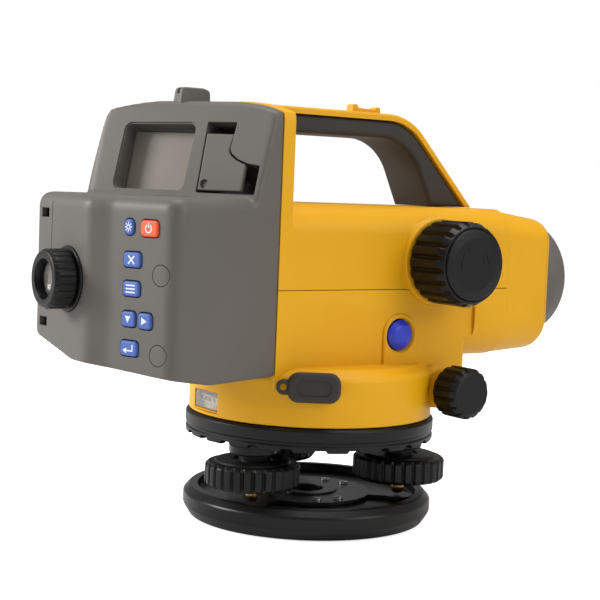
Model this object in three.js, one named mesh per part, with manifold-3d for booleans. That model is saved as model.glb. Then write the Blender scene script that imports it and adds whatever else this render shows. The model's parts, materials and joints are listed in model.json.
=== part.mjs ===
// An electronic automatic level: a telescope with a self-levelling compensator and a digital read-out,
// carried on a turning spindle above a three-screw levelling base.
//
// Millimetres, +Z up. The origin is on the vertical axis, at the underside of the base plate.
// +Y runs forward along the telescope to the objective, -Y back to the eyepiece, +X to the focusing knob.
import * as THREE from "three";
import { mergeVertices } from "three/addons/utils/BufferGeometryUtils.js";
import Module from "manifold-3d";

const wasm = await Module();
wasm.setup();

// ---------------------------------------------------------------- driving dimensions
const GAP = 0.3; // between pieces that rest on one another
const WALL = 2.6; // moulded casing wall
const HALF_LENGTH = 138.5; // eyepiece front and objective front, from the vertical axis
const HALF_WIDTH = 64; // outer ends of the fine-motion knobs
const TOTAL_HEIGHT = 196;
const TELESCOPE_Z = 112;

const BASE_R = 58.5;
const BASE_FOOT_R = 56;
const BASE_TOP = 13.5;
const TRIPOD_BORE_R = 7.94; // 5/8 inch tripod screw
const SCREW_CIRCLE_R = 43;
const SCREW_ANGLES = { a: -70.5, b: 49.5, c: 169.5 };
const BALL_Z = 15.2; // centre of each levelling screw's ball foot
const BALL_R = 3.5;
const LEVEL_KNOB = { bottom: 19.5, top: 31.6, radius: 21.4, flutes: 14 };
const HEAD_TOP = 43.5;
const RING_TOP = 49.5;
const RING_R = 58.4;
const RING_SKIRT = 39;
const TURRET_R = 57;
const TURRET_BOTTOM = 50;
const TURRET_TOP = 75.1;

const BODY_HALF = 37; // half the width of the yellow casing
const SEAM_Z = 109;
const COLUMN_FRONT = 68; // front of the lower body, under the telescope
const JOINT_Y = -45.5; // grey rear housing meets the yellow casing
const NOSE_JOINT = 88.5;
const NOSE_FRONT = 121;
const DECK_Z = 147;
const ROOF_Z = 191; // at the middle of the crown
const ROOF_R = 130; // the roof is gently arched from side to side

const FOCUS = { y: 43, z: 122, radius: 19.4, back: 39.6, front: 64, flutes: 14 };
const FINE = { y: 44.4, z: 63.2, radius: 11.8, back: 49.5, flutes: 12 };
const WHEEL_R = 39.2; // worm wheel, just clear of the worm

const PANEL_TURN = THREE.MathUtils.degToRad(18); // the keypad face is turned to the right
const FACE_TURN = THREE.MathUtils.degToRad(29); // and the display face is turned further
const FACE_TILT = THREE.MathUtils.degToRad(16); // the display face leans back
const FACE_ORIGIN = new THREE.Vector3(0.9, -79.4, 161); // on the display face
const LOWER_BACK = -127; // back face round the eyepiece
const LEDGE_Z = 148; // top of the lower part of the rear housing
const HOUSING_BOTTOM = 71.5;
const VALLEY = { x: 22, y: -120.5 }; // where the keypad face starts
const KEYPAD_WIDTH = 38.5;
const PASSAGE_Z = 98; // the casing is open into the rear housing above this height

// ---------------------------------------------------------------- materials
const finish = (color, roughness, metalness = 0) =>
  new THREE.MeshStandardMaterial({ color, roughness, metalness });
const yellow = finish(0xf2ac14, 0.5);
const grey = finish(0x6f6a62, 0.6);
const black = finish(0x17171a, 0.45);
const rubber = finish(0x2a2622, 0.85);
const blue = finish(0x2f4fc0, 0.45);
const keyBlue = finish(0x3c62b4, 0.5);
const orange = finish(0xf0531e, 0.5);
const brass = finish(0xb08a3c, 0.35, 1);
const steel = finish(0x9a9ca0, 0.3, 1);
const alloy = finish(0xb4b6b8, 0.4, 1);
const glass = finish(0x8a8f98, 0.08);
const board = finish(0x1f5a3a, 0.6);
const white = finish(0xe6e4dc, 0.6);

// ---------------------------------------------------------------- solids and booleans
// A closed three.js geometry as a solid, with its faces turned outward.
function solid(geometry) {
  const source = geometry.clone();
  source.deleteAttribute("normal");
  source.deleteAttribute("uv");
  const merged = mergeVertices(source, 1e-4);
  const build = (triVerts) =>
    new wasm.Manifold(
      new wasm.Mesh({
        numProp: 3,
        vertProperties: new Float32Array(merged.attributes.position.array),
        triVerts,
      }),
    );
  const triangles = new Uint32Array(merged.index.array);
  const made = build(triangles);
  if (made.volume() > 0) return made;
  return build(triangles.reverse());
}

function geometryOf(body) {
  const mesh = body.getMesh();
  const geometry = new THREE.BufferGeometry();
  geometry.setAttribute("position", new THREE.BufferAttribute(mesh.vertProperties, 3));
  geometry.setIndex(new THREE.BufferAttribute(mesh.triVerts, 1));
  geometry.computeVertexNormals();
  return geometry;
}

const join = (first, ...rest) => rest.reduce((sum, next) => sum.add(next), first);
const cut = (first, ...rest) => rest.reduce((left, next) => left.subtract(next), first);
const common = (first, ...rest) => rest.reduce((left, next) => left.intersect(next), first);

// A box from its lowest and highest corners.
function box(low, high) {
  const size = high.map((value, axis) => value - low[axis]);
  const geometry = new THREE.BoxGeometry(...size);
  geometry.translate(...low.map((value, axis) => value + size[axis] / 2));
  return solid(geometry);
}

// A closed outline with rounded corners, from corners given as [across, up, radius].
function outline(corners) {
  const shape = new THREE.Shape();
  corners.forEach(([x, y, radius = 0], index) => {
    const here = new THREE.Vector2(x, y);
    const before = corners[(index + corners.length - 1) % corners.length];
    const after = corners[(index + 1) % corners.length];
    const back = new THREE.Vector2(before[0] - x, before[1] - y).normalize();
    const ahead = new THREE.Vector2(after[0] - x, after[1] - y).normalize();
    if (radius <= 0) {
      if (index === 0) shape.moveTo(x, y);
      else shape.lineTo(x, y);
      return;
    }
    const half = back.angleTo(ahead) / 2;
    const inward = back.clone().add(ahead).normalize();
    const centre = here.clone().addScaledVector(inward, radius / Math.sin(half));
    const start = here.clone().addScaledVector(back, radius / Math.tan(half)).sub(centre);
    const end = here.clone().addScaledVector(ahead, radius / Math.tan(half)).sub(centre);
    if (index === 0) shape.moveTo(centre.x + start.x, centre.y + start.y);
    else shape.lineTo(centre.x + start.x, centre.y + start.y);
    const clockwise = start.cross(end) < 0;
    shape.absarc(centre.x, centre.y, radius, start.angle(), end.angle(), clockwise);
  });
  shape.closePath();
  return shape;
}

const rectangle = (x0, y0, x1, y1, radius = 0) =>
  outline([
    [x0, y0, radius],
    [x1, y0, radius],
    [x1, y1, radius],
    [x0, y1, radius],
  ]);

// An outline pushed along its own normal from 0 to length, with rounded rims of radius rim.
function slab(shape, length, rim = 0, curveSegments = 2) {
  return new THREE.ExtrudeGeometry(shape, {
    depth: length - 2 * rim,
    bevelEnabled: rim > 0,
    bevelThickness: rim,
    bevelSize: rim,
    bevelOffset: -rim,
    bevelSegments: rim > 2 ? 3 : 1,
    curveSegments,
  }).translate(0, 0, rim);
}

// Turn a slab made in the XY plane so that it runs along another axis.
const alongX = new THREE.Matrix4().set(0, 0, 1, 0, 1, 0, 0, 0, 0, 1, 0, 0, 0, 0, 0, 1);
const alongY = new THREE.Matrix4().set(-1, 0, 0, 0, 0, 0, 1, 0, 0, 1, 0, 0, 0, 0, 0, 1);
const pushX = (shape, from, to, rim, curve) =>
  solid(slab(shape, to - from, rim, curve).applyMatrix4(alongX).translate(from, 0, 0));
// The outline's across direction is -X here, so outlines pushed along Y are drawn as seen from the front.
const pushY = (shape, from, to, rim, curve) =>
  solid(slab(shape, to - from, rim, curve).applyMatrix4(alongY).translate(0, from, 0));
const pushZ = (shape, from, to, rim) => solid(slab(shape, to - from, rim).translate(0, 0, from));

// A body of revolution about Z, from [radius, height] points. A ring's profile closes on itself.
function turned(profile, segments = 24) {
  const closed = profile[0][0] > 0;
  const points = (closed ? [...profile, profile[0]] : profile).map(([r, z]) => new THREE.Vector2(r, z));
  return new THREE.LatheGeometry(points, segments).rotateX(Math.PI / 2);
}
const turnedZ = (profile, x = 0, y = 0, segments = 24) => solid(turned(profile, segments).translate(x, y, 0));
const turnedX = (profile, y, z, segments = 24) =>
  solid(turned(profile, segments).rotateY(Math.PI / 2).translate(0, y, z));
const turnedY = (profile, z = TELESCOPE_Z, segments = 24) =>
  solid(turned(profile, segments).rotateX(-Math.PI / 2).translate(0, 0, z));

// A rectangular profile [inner radius, outer radius] from low to high.
const tube = (inner, outer, low, high) =>
  inner > 0
    ? [
        [inner, low],
        [outer, low],
        [outer, high],
        [inner, high],
      ]
    : [
        [0, low],
        [outer, low],
        [outer, high],
        [0, high],
      ];

// A knob outline whose rim rises and falls in rounded flutes.
function fluted(radius, flutes, depth) {
  const shape = new THREE.Shape();
  const steps = flutes * 4;
  for (let step = 0; step < steps; step += 1) {
    const raised = step % 4 < 2;
    const angle = ((step + (raised ? 0.12 : -0.12)) / steps) * 2 * Math.PI;
    const r = raised ? radius : radius - depth;
    if (step === 0) shape.moveTo(r * Math.cos(angle), r * Math.sin(angle));
    else shape.lineTo(r * Math.cos(angle), r * Math.sin(angle));
  }
  shape.closePath();
  return shape;
}

// The frame of the tilted display face: x across it, y up it, z out of it.
const displayFrame = new THREE.Matrix4()
  .makeTranslation(FACE_ORIGIN)
  .multiply(new THREE.Matrix4().makeRotationZ(FACE_TURN))
  .multiply(new THREE.Matrix4().makeRotationX(Math.PI / 2 - FACE_TILT));
// The frame of the upright keypad face, with its origin at the valley and y measured from Z = 0.
const keypadFrame = new THREE.Matrix4()
  .makeTranslation(VALLEY.x, VALLEY.y, 0)
  .multiply(new THREE.Matrix4().makeRotationZ(PANEL_TURN))
  .multiply(new THREE.Matrix4().makeRotationX(Math.PI / 2));
// A slab from one depth to another in such a frame. Depth 0 is the face, and inside is negative.
const onFace = (frame, shape, from, to, rim) =>
  solid(slab(shape, to - from, rim).translate(0, 0, from).applyMatrix4(frame));

// ---------------------------------------------------------------- the assembly
const level = new THREE.Group();
level.name = "automatic_level";

function add(name, body, material, position = [0, 0, 0], turn = 0) {
  const geometry = body.isBufferGeometry ? body : geometryOf(body);
  const mesh = new THREE.Mesh(geometry, material.clone());
  mesh.name = name;
  mesh.position.set(...position);
  mesh.rotation.z = turn;
  level.add(mesh);
}

const onScrewCircle = (degrees) => {
  const angle = THREE.MathUtils.degToRad(degrees);
  return [SCREW_CIRCLE_R * Math.cos(angle), SCREW_CIRCLE_R * Math.sin(angle)];
};

// ---------------------------------------------------------------- levelling base
function basePlate() {
  const profile = [
    [TRIPOD_BORE_R, 0],
    [BASE_FOOT_R - 1, 0],
    [BASE_FOOT_R, 1],
    [BASE_R, 5],
    [BASE_R, 11],
    [BASE_R - 1, 12.4],
    [BASE_R - 3.5, BASE_TOP],
    [51.5, BASE_TOP],
    [50.8, 9.5],
    [14, 9.5],
    [14, 12],
    [TRIPOD_BORE_R, 12],
  ];
  add("base_plate", turnedZ(profile, 0, 0, 36), black);
}

// A three-armed leaf that holds the ball feet down.
function springPlate() {
  let leaf = turnedZ(tube(0, 30, 9.8, 11.3));
  for (const degrees of Object.values(SCREW_ANGLES)) {
    const [x, y] = onScrewCircle(degrees);
    leaf = join(leaf, turnedZ(tube(0, 7.2, 9.8, 11.3), x, y, 16));
    const arm = new THREE.BoxGeometry(30, 10, 1.5).translate(28, 0, 10.55);
    leaf = join(leaf, solid(arm.rotateZ(THREE.MathUtils.degToRad(degrees))));
  }
  add("spring_plate", cut(leaf, turnedZ(tube(0, 14.5, 9, 12))), steel);
}

function levellingScrews() {
  const neck = 2.6;
  const stem = 3;
  const foot = Array.from({ length: 5 }, (_, i) => {
    const angle = -Math.PI / 2 + (i / 4) * (Math.PI / 2 + Math.acos(neck / BALL_R));
    return [i === 0 ? 0 : BALL_R * Math.cos(angle), BALL_Z + BALL_R * Math.sin(angle)];
  });
  const screw = [
    ...foot,
    [neck, 18.6],
    [stem + 1.6, 18.6],
    [stem + 1.6, 19.3],
    [stem, 19.3],
    [stem, 40.6],
    [0, 40.6],
  ];
  const { bottom, top, radius, flutes } = LEVEL_KNOB;
  const knob = cut(
    join(
      pushZ(fluted(radius, flutes, 1.5), bottom, top - 1.2, 0.9),
      turnedZ(tube(0, radius - 3.5, top - 3, top), 0, 0, 24),
      turnedZ(tube(0, 6.5, top - 1, 36.2), 0, 0, 20),
    ),
    turnedZ(tube(0, stem + 0.1, bottom - 1, 37), 0, 0, 16),
  );
  for (const [letter, degrees] of Object.entries(SCREW_ANGLES)) {
    const place = [...onScrewCircle(degrees), 0];
    add(`levelling_screw_${letter}`, turned(screw, 16), brass, place);
    add(`levelling_knob_${letter}`, geometryOf(knob), black, place);
  }
}

function levellingHead() {
  let head = turnedZ(tube(0, 54, 39.3, HEAD_TOP), 0, 0, 32);
  const holes = [];
  for (const degrees of Object.values(SCREW_ANGLES)) {
    const [x, y] = onScrewCircle(degrees);
    head = join(head, turnedZ(tube(0, 10.5, 34.2, 39.5), x, y, 24));
    holes.push(turnedZ(tube(0, 3.35, 33, 45), x, y, 16));
    holes.push(turnedZ(tube(0, 7.2, 33, 38.4), x, y, 20));
  }
  head = cut(head, ...holes, turnedZ(tube(0, 9, 37, 44), 0, 0, 32));
  add("levelling_head", head, black);
  const spindle = [
    [5, 38.3],
    [8.7, 38.3],
    [8.7, HEAD_TOP + GAP],
    [18, HEAD_TOP + GAP],
    [18, TURRET_BOTTOM],
    [9, TURRET_BOTTOM],
    [9, 84],
    [5, 84],
  ];
  add("vertical_spindle", turnedZ(spindle, 0, 0, 24), steel);
}

// ---------------------------------------------------------------- horizontal circle
function circleRing() {
  const profile = [
    [18.6, 44.2],
    [54.8, 44.2],
    [54.8, RING_SKIRT + 1.5],
    [RING_R, RING_SKIRT + 1.5],
    [RING_R, RING_TOP - 1],
    [RING_R - 1, RING_TOP],
    [18.6, RING_TOP],
  ];
  let ring = turnedZ(profile, 0, 0, 36);
  const teeth = 18;
  for (let tooth = 0; tooth < teeth; tooth += 1) {
    const lug = new THREE.BoxGeometry(3.1, 8.5, 2).translate(56.4, 0, RING_SKIRT + 1);
    ring = join(ring, solid(lug.rotateZ((tooth / teeth) * 2 * Math.PI)));
  }
  add("circle_setting_ring", ring, black);
  const scale = [
    [40, TURRET_BOTTOM - 0.2],
    [52.5, TURRET_BOTTOM - 0.2],
    [52.5, 58],
    [50.7, 58],
    [50.7, 51],
    [40, 51],
  ];
  add("graduated_circle", turnedZ(scale, 0, 0, 32), white);
}

function wormDrive() {
  const hub = 14;
  const wheel = [
    [9.2, TURRET_BOTTOM + GAP],
    [hub, TURRET_BOTTOM + GAP],
    [hub, 58.5],
    [WHEEL_R, 58.5],
    [WHEEL_R, 63.5],
    [9.2, 63.5],
  ];
  add("worm_wheel", turnedZ(wheel, 0, 0, 36), brass);
  const shaft = 2.6;
  const worm = 4.4;
  const half = [
    [0, -HALF_WIDTH + 3],
    [shaft, -HALF_WIDTH + 3],
    [shaft, -12],
    [worm, -11],
    [worm, 11],
    [shaft, 12],
    [shaft, HALF_WIDTH - 3],
    [0, HALF_WIDTH - 3],
  ];
  add("fine_motion_worm", turnedX(half, FINE.y, FINE.z, 24), steel);
  const knob = cut(
    join(
      pushZ(fluted(FINE.radius, FINE.flutes, 1.3), FINE.back, HALF_WIDTH - 1.2, 0.8),
      turnedZ(tube(0, FINE.radius - 2.6, HALF_WIDTH - 4, HALF_WIDTH), 0, 0, 32),
    ),
    turnedZ(tube(0, shaft + 0.1, FINE.back - 1, HALF_WIDTH - 2.8), 0, 0, 20),
  );
  for (const [side, turn] of [["right", Math.PI / 2], ["left", -Math.PI / 2]]) {
    const placed = geometryOf(knob).rotateY(turn).translate(0, FINE.y, FINE.z);
    add(`fine_motion_knob_${side}`, placed, black);
  }
}

// ---------------------------------------------------------------- yellow casing
// The telescope shroud's section, shrunk by inset.
const shroudSection = (inset, topRadius = 13, bottomRadius = 18) =>
  outline([
    [-(BODY_HALF - inset), 75.5 + inset, bottomRadius - inset],
    [BODY_HALF - inset, 75.5 + inset, bottomRadius - inset],
    [BODY_HALF - inset, DECK_Z - inset, topRadius - inset],
    [-(BODY_HALF - inset), DECK_Z - inset, topRadius - inset],
  ]);

const columnPlan = (inset) =>
  outline([
    [-(BODY_HALF - inset), JOINT_Y + inset],
    [BODY_HALF - inset, JOINT_Y + inset],
    [BODY_HALF - inset, COLUMN_FRONT - inset, 11 - inset],
    [-(BODY_HALF - inset), COLUMN_FRONT - inset, 11 - inset],
  ]);

const FINE_BOSS = [
  [0, 28],
  [9.6, 28],
  [9.6, 36],
  [8.2, FINE.back - 0.4],
  [0, FINE.back - 0.4],
];
const PORT_ANGLE = THREE.MathUtils.degToRad(-34);
const PORT_Z = 68;
const atPort = (body) => solid(body.rotateY(Math.PI / 2).rotateZ(PORT_ANGLE).translate(0, 0, PORT_Z));
const portShape = (inset) => rectangle(-6 + inset, -11 + inset, 6 - inset, 11 - inset, 4.5 - inset);

const BUTTON = { y: 22.3, z: 88.2, radius: 7 };
const DOOR = { low: [-33, 76], high: [39, 105] }; // battery door, as [y, z] corners

function lowerCasing() {
  const outside = [
    [0, TURRET_BOTTOM],
    [TURRET_R, TURRET_BOTTOM],
    [TURRET_R, 69.5],
    [55.5, 73],
    [51, TURRET_TOP],
    [0, TURRET_TOP],
  ];
  const insideOfIt = [
    [0, 45],
    [53.6, 45],
    [53.6, 64],
    [51, 68.1],
    [0, 68.1],
  ];
  const turretOuter = turnedZ(outside, 0, 0, 36);
  const turretInner = turnedZ(insideOfIt, 0, 0, 36);
  const column = pushZ(columnPlan(0), 66, SEAM_Z, 0);
  const belly = common(
    pushY(shroudSection(0), 40, NOSE_JOINT, 0),
    box([-50, 40, 70], [50, 100, SEAM_Z]),
  );
  const bosses = [1, -1].map((side) =>
    solid(turned(FINE_BOSS, 32).rotateY((side * Math.PI) / 2).translate(0, FINE.y, FINE.z)),
  );
  const buttonRim = tube(BUTTON.radius + 1, BUTTON.radius + 2.6, BODY_HALF - 1, BODY_HALF + 1.6);
  const outer = join(
    turretOuter,
    column,
    belly,
    ...bosses,
    atPort(slab(portShape(0), 17.2, 0).translate(0, 0, 32)),
    turnedX(buttonRim, BUTTON.y, BUTTON.z),
  );
  const cavity = join(
    pushZ(columnPlan(WALL), 70, SEAM_Z + 5, 0),
    box([-(BODY_HALF - WALL), JOINT_Y - 5, PASSAGE_Z], [BODY_HALF - WALL, 0, SEAM_Z + 5]),
    common(
      pushY(shroudSection(WALL), 40, NOSE_JOINT + 5, 0),
      box([-50, 40, 70], [50, 110, SEAM_Z + 5]),
    ),
  );
  const hub = turnedZ(tube(0, 13.5, 68.1, 82));
  const bore = turnedZ(tube(0, 9.25, 40, 90));
  const shaftBore = turnedX(tube(0, 3, -80, 80), FINE.y, FINE.z, 20);
  const window = box([-13.3, -70, 52.2], [7.3, -48, 60.6]);
  const buttonBore = turnedX(tube(0, BUTTON.radius + 0.35, 20, 60), BUTTON.y, BUTTON.z);
  const doorLow = DOOR.low.map((value) => value + 3);
  const doorHigh = DOOR.high.map((value) => value - 3);
  const doorway = box([-50, ...doorLow], [-20, ...doorHigh]);
  const socket = atPort(slab(portShape(2), 30, 0).translate(0, 0, 47));
  const shell = join(cut(outer, turretInner, cavity), hub);
  const openings = [bore, shaftBore, window, buttonBore, doorway, socket];
  add("lower_casing", cut(shell, ...openings), yellow);

  const pane = box([-13, -54.9, 52.5], [7, -53.9, 60.3]);
  add("circle_window", pane, glass);
  const plug = join(
    atPort(slab(portShape(-0.6), 4, 1.2).translate(0, 0, 57.6)),
    atPort(slab(portShape(2.5), 4.6, 0).translate(0, 0, 53.6)),
    atPort(slab(rectangle(-2.4, -16, 2.4, -8, 2), 2, 0.6).translate(0, 0, 58.6)),
  );
  add("port_cap", plug, rubber);
}

function measureButton() {
  const profile = [
    [0, 31],
    [BUTTON.radius, 31],
    [BUTTON.radius, BODY_HALF + 1.2],
    [BUTTON.radius - 1.2, BODY_HALF + 2.4],
    [BUTTON.radius - 3.6, BODY_HALF + 3],
    [0, BODY_HALF + 3.2],
  ];
  add("measure_button", turnedX(profile, BUTTON.y, BUTTON.z, 24), blue);
}

const COLLAR_FRONT = -39.5;
const ROOF_EDGE = 9; // rounding along the edges of the roof
const collarPlan = (inset) => rectangle(-BODY_HALF + inset, -70, BODY_HALF - inset, 0);
// Everything below the arched roof, shrunk by inset.
const underRoof = (inset) =>
  solid(
    new THREE.CylinderGeometry(ROOF_R - inset, ROOF_R - inset, 140, 96).translate(0, -70, ROOF_Z - ROOF_R),
  );

function upperCasing() {
  const deck = cut(
    pushY(shroudSection(0), JOINT_Y, NOSE_JOINT, 0),
    box([-60, -60, 60], [60, 110, SEAM_Z + GAP]),
  );
  const collar = common(
    pushZ(collarPlan(0), 112, ROOF_Z, ROOF_EDGE),
    box([-60, JOINT_Y, 128], [60, COLLAR_FRONT, 200]),
    underRoof(0),
  );
  const inside = join(
    pushY(shroudSection(WALL), JOINT_Y + 14, NOSE_JOINT + 5, 0),
    pushY(shroudSection(WALL), JOINT_Y - 5, JOINT_Y + 16, 0),
    common(
      pushZ(collarPlan(WALL), 112, ROOF_Z - WALL, ROOF_EDGE - WALL),
      box([-60, JOINT_Y - 5, 130], [60, COLLAR_FRONT - WALL, 200]),
      underRoof(WALL),
    ),
  );
  const focusBoss = cut(
    turnedX(tube(0, 20.6, BODY_HALF - 1, FOCUS.back - GAP), FOCUS.y, FOCUS.z, 32),
    box([BODY_HALF - 5, 0, 90], [BODY_HALF + GAP, 90, SEAM_Z + GAP]),
  );
  const focusBore = turnedX(tube(0, 3.6, 20, 80), FOCUS.y, FOCUS.z, 20);
  add("upper_casing", cut(join(deck, collar, focusBoss), inside, focusBore), yellow);
}

// The carrying handle: a bar from the collar forward, then a slanting pillar down to the deck.
const HANDLE_HALF = 15;
const HANDLE_CURVE = 6; // segments in each bend
const BAND_DEPTH = 3.4;
const handleInner = [
  [56.5, DECK_Z + GAP],
  [42, 178.6, 26],
  [COLLAR_FRONT + GAP, 178.4],
];
const handleOutline = [
  [COLLAR_FRONT + GAP, 190],
  [41.7, 189.8, 30],
  [82.5, DECK_Z + GAP],
  ...handleInner,
];
// The same outline with its outer edge moved in by the depth of the band.
const gripOutline = [
  [COLLAR_FRONT + GAP, 190 - BAND_DEPTH],
  [40.3, 189.8 - BAND_DEPTH, 27],
  [77.8, DECK_Z + GAP],
  ...handleInner,
];

function carryHandle() {
  const pushed = (corners, half, rim) =>
    pushX(outline([...corners].reverse()), -half, half, rim, HANDLE_CURVE);
  const whole = pushed(handleOutline, HANDLE_HALF, 0.8);
  const room = pushed(gripOutline, HANDLE_HALF + 5, 0);
  add("handle_band", cut(whole, room, room.translate(0, GAP, GAP)), yellow);
  add("handle_grip", pushed(gripOutline, HANDLE_HALF - 0.6, 2), rubber);
  const bead = outline([
    [16, 190.3],
    [33, 190.3],
    [32.6, 193.3, 0.8],
    [30.5, 193.3, 0.8],
    [29.5, 192.1],
    [20, 192.4],
    [19, 194, 0.8],
    [16.6, 194, 0.8],
  ]);
  add("front_sight", pushX(bead, -2.5, 2.5, 0), yellow);
}

// The nose narrows forward from its joint, most of all along the top.
function narrowed(body) {
  return body.warp((point) => {
    const along = Math.max(0, (point[1] - NOSE_JOINT) / (NOSE_FRONT - NOSE_JOINT));
    const up = point[2] - TELESCOPE_Z;
    point[0] *= 1 - 0.07 * along;
    point[2] = TELESCOPE_Z + up * (1 - (up > 0 ? 0.15 : 0.06) * along);
  });
}

function nose() {
  const outer = narrowed(pushY(shroudSection(0), NOSE_JOINT + GAP - 4, NOSE_FRONT, 3.6, 4));
  const inner = narrowed(pushY(shroudSection(WALL), 80, NOSE_FRONT - WALL, 0, 4));
  const behind = box([-60, 80, 60], [60, NOSE_JOINT + GAP, 160]);
  add("nose_cover", cut(outer, inner, behind, turnedY(tube(0, 27, 100, 130))), yellow);
  const bezel = [
    [23.6, NOSE_FRONT + GAP],
    [29.6, NOSE_FRONT + GAP],
    [29.5, 128],
    [28.9, 133],
    [27.6, 136.6],
    [25.8, HALF_LENGTH],
    [24.6, HALF_LENGTH],
    [23.6, 136.5],
  ];
  add("objective_bezel", turnedY(bezel, TELESCOPE_Z, 28), grey);
}

// ---------------------------------------------------------------- grey rear housing
const keypadEnd = {
  x: VALLEY.x + KEYPAD_WIDTH * Math.cos(PANEL_TURN),
  y: VALLEY.y + KEYPAD_WIDTH * Math.sin(PANEL_TURN),
};
// The housing's left side runs straight on from the casing. The right side flares out towards the keypad.
const FLARE = (keypadEnd.x - BODY_HALF) / (JOINT_Y - keypadEnd.y);
const rightSide = (y) => BODY_HALF + (JOINT_Y - y) * FLARE;
const FRONT = JOINT_Y + 12; // outlines run past the joint, and are cut off there

// The lower part is two blocks side by side: one round the eyepiece, and the keypad block beside it.
const eyepiecePlan = (inset) =>
  outline([
    [-BODY_HALF + inset, FRONT],
    [-BODY_HALF + inset, LOWER_BACK + inset, 8 - inset],
    [VALLEY.x - inset, LOWER_BACK + inset, 7 - inset],
    [VALLEY.x - inset, FRONT],
  ]);
const KEYPAD_START = 10;
const keypadStartY = VALLEY.y - (VALLEY.x - KEYPAD_START) * Math.tan(PANEL_TURN);
const keypadPlan = (inset) =>
  outline([
    [KEYPAD_START, FRONT],
    [KEYPAD_START, keypadStartY + inset / Math.cos(PANEL_TURN)],
    [keypadEnd.x - inset, keypadEnd.y + inset * 0.7, 6.5 - inset],
    [rightSide(FRONT) - inset, FRONT],
  ]);
const ROOF_BACK = -112;
const roofPlan = (inset) =>
  outline([
    [-BODY_HALF + inset, FRONT],
    [-BODY_HALF + inset, ROOF_BACK],
    [rightSide(ROOF_BACK) - inset, ROOF_BACK],
    [rightSide(FRONT) - inset, FRONT],
  ]);
const faceShape = (inset) =>
  outline([
    [-44 + inset, -40],
    [60, -40],
    [60, 31.5 - inset],
    [-44 + inset, 31.5 - inset, 12 - inset],
  ]);
// The underside drops from the left edge to the right, and rises a little at the back.
const underside = (inset) =>
  common(
    pushY(
      outline([
        [-70, HOUSING_BOTTOM + inset],
        [-32, HOUSING_BOTTOM + inset, 8],
        [6, 80 + inset, 16],
        [BODY_HALF - inset, 86.5 + inset, 9 - inset],
        [BODY_HALF - inset, 210],
        [-70, 210],
      ]),
      -140,
      JOINT_Y + 20,
      0,
      4,
    ),
    pushX(
      outline([
        [-140, 80.5 + inset],
        [-86, HOUSING_BOTTOM + inset, 20],
        [JOINT_Y + 20, HOUSING_BOTTOM + inset],
        [JOINT_Y + 20, 210],
        [-140, 210],
      ]),
      -60,
      70,
      0,
      4,
    ),
  );

const LCD_DEPTH = 9;
const lcdShape = (grow) =>
  outline([
    [-28.2 - grow, -10.7 - grow, 3],
    [6.9 + grow, -10.7 - grow, 3],
    [8.5 + grow, 19.5 + grow, 3],
    [-27 - grow, 19 + grow, 3],
  ]);
// The viewer recess: a slot above the flap, the space behind it, and a pocket to its right.
const recessShape = outline([
  [14.1, -11.5],
  [42.6, -11.6],
  [43.1, 1.4],
  [36.6, 2.3],
  [32, 4],
  [28.8, 6.2],
  [27.5, 8.3],
  [28.7, 20.5],
  [14.1, 20.4],
]);
const flapShape = outline([
  [14.6, -10.3],
  [35.8, -10.2],
  [36.1, 1.7],
  [31.5, 3.4],
  [28.2, 5.6],
  [26.9, 7.9],
  [28.2, 15.1],
  [14.6, 15.2],
]);

const KEYS = [
  { name: "light_key", across: 12.9, up: 135.4, width: 5.2, height: 6.5, material: keyBlue },
  { name: "power_key", across: 23.9, up: 135.2, width: 9.2, height: 6.6, material: orange },
  { name: "escape_key", across: 15, up: 122.3, width: 9.4, height: 6.2, material: keyBlue },
  { name: "menu_key", across: 14.9, up: 110.6, width: 9.2, height: 6.2, material: keyBlue },
  { name: "down_key", across: 13.9, up: 98.3, width: 7.5, height: 6.3, material: keyBlue },
  { name: "right_key", across: 22.8, up: 98.1, width: 7.3, height: 6.5, material: keyBlue },
  { name: "enter_key", across: 14.6, up: 86.4, width: 9.4, height: 6.2, material: keyBlue },
];
const CAPS = [
  { name: "screw_cap_upper", across: 30.2, up: 116.8 },
  { name: "screw_cap_lower", across: 29.8, up: 84.8 },
];
const CAP_R = 4.2;
const keyOutline = ({ across, up, width, height }, grow = 0) => {
  const halfWidth = width / 2 + grow;
  const halfHeight = height / 2 + grow;
  const corner = Math.min(halfWidth, halfHeight) * (width < height ? 0.9 : 0.55);
  return rectangle(across - halfWidth, up - halfHeight, across + halfWidth, up + halfHeight, corner);
};
const disc = ({ across, up }, radius) => {
  const shape = new THREE.Shape();
  const steps = 14;
  for (let step = 0; step < steps; step += 1) {
    const angle = (step / steps) * 2 * Math.PI;
    const point = [across + radius * Math.cos(angle), up + radius * Math.sin(angle)];
    if (step === 0) shape.moveTo(...point);
    else shape.lineTo(...point);
  }
  shape.closePath();
  return shape;
};

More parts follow.
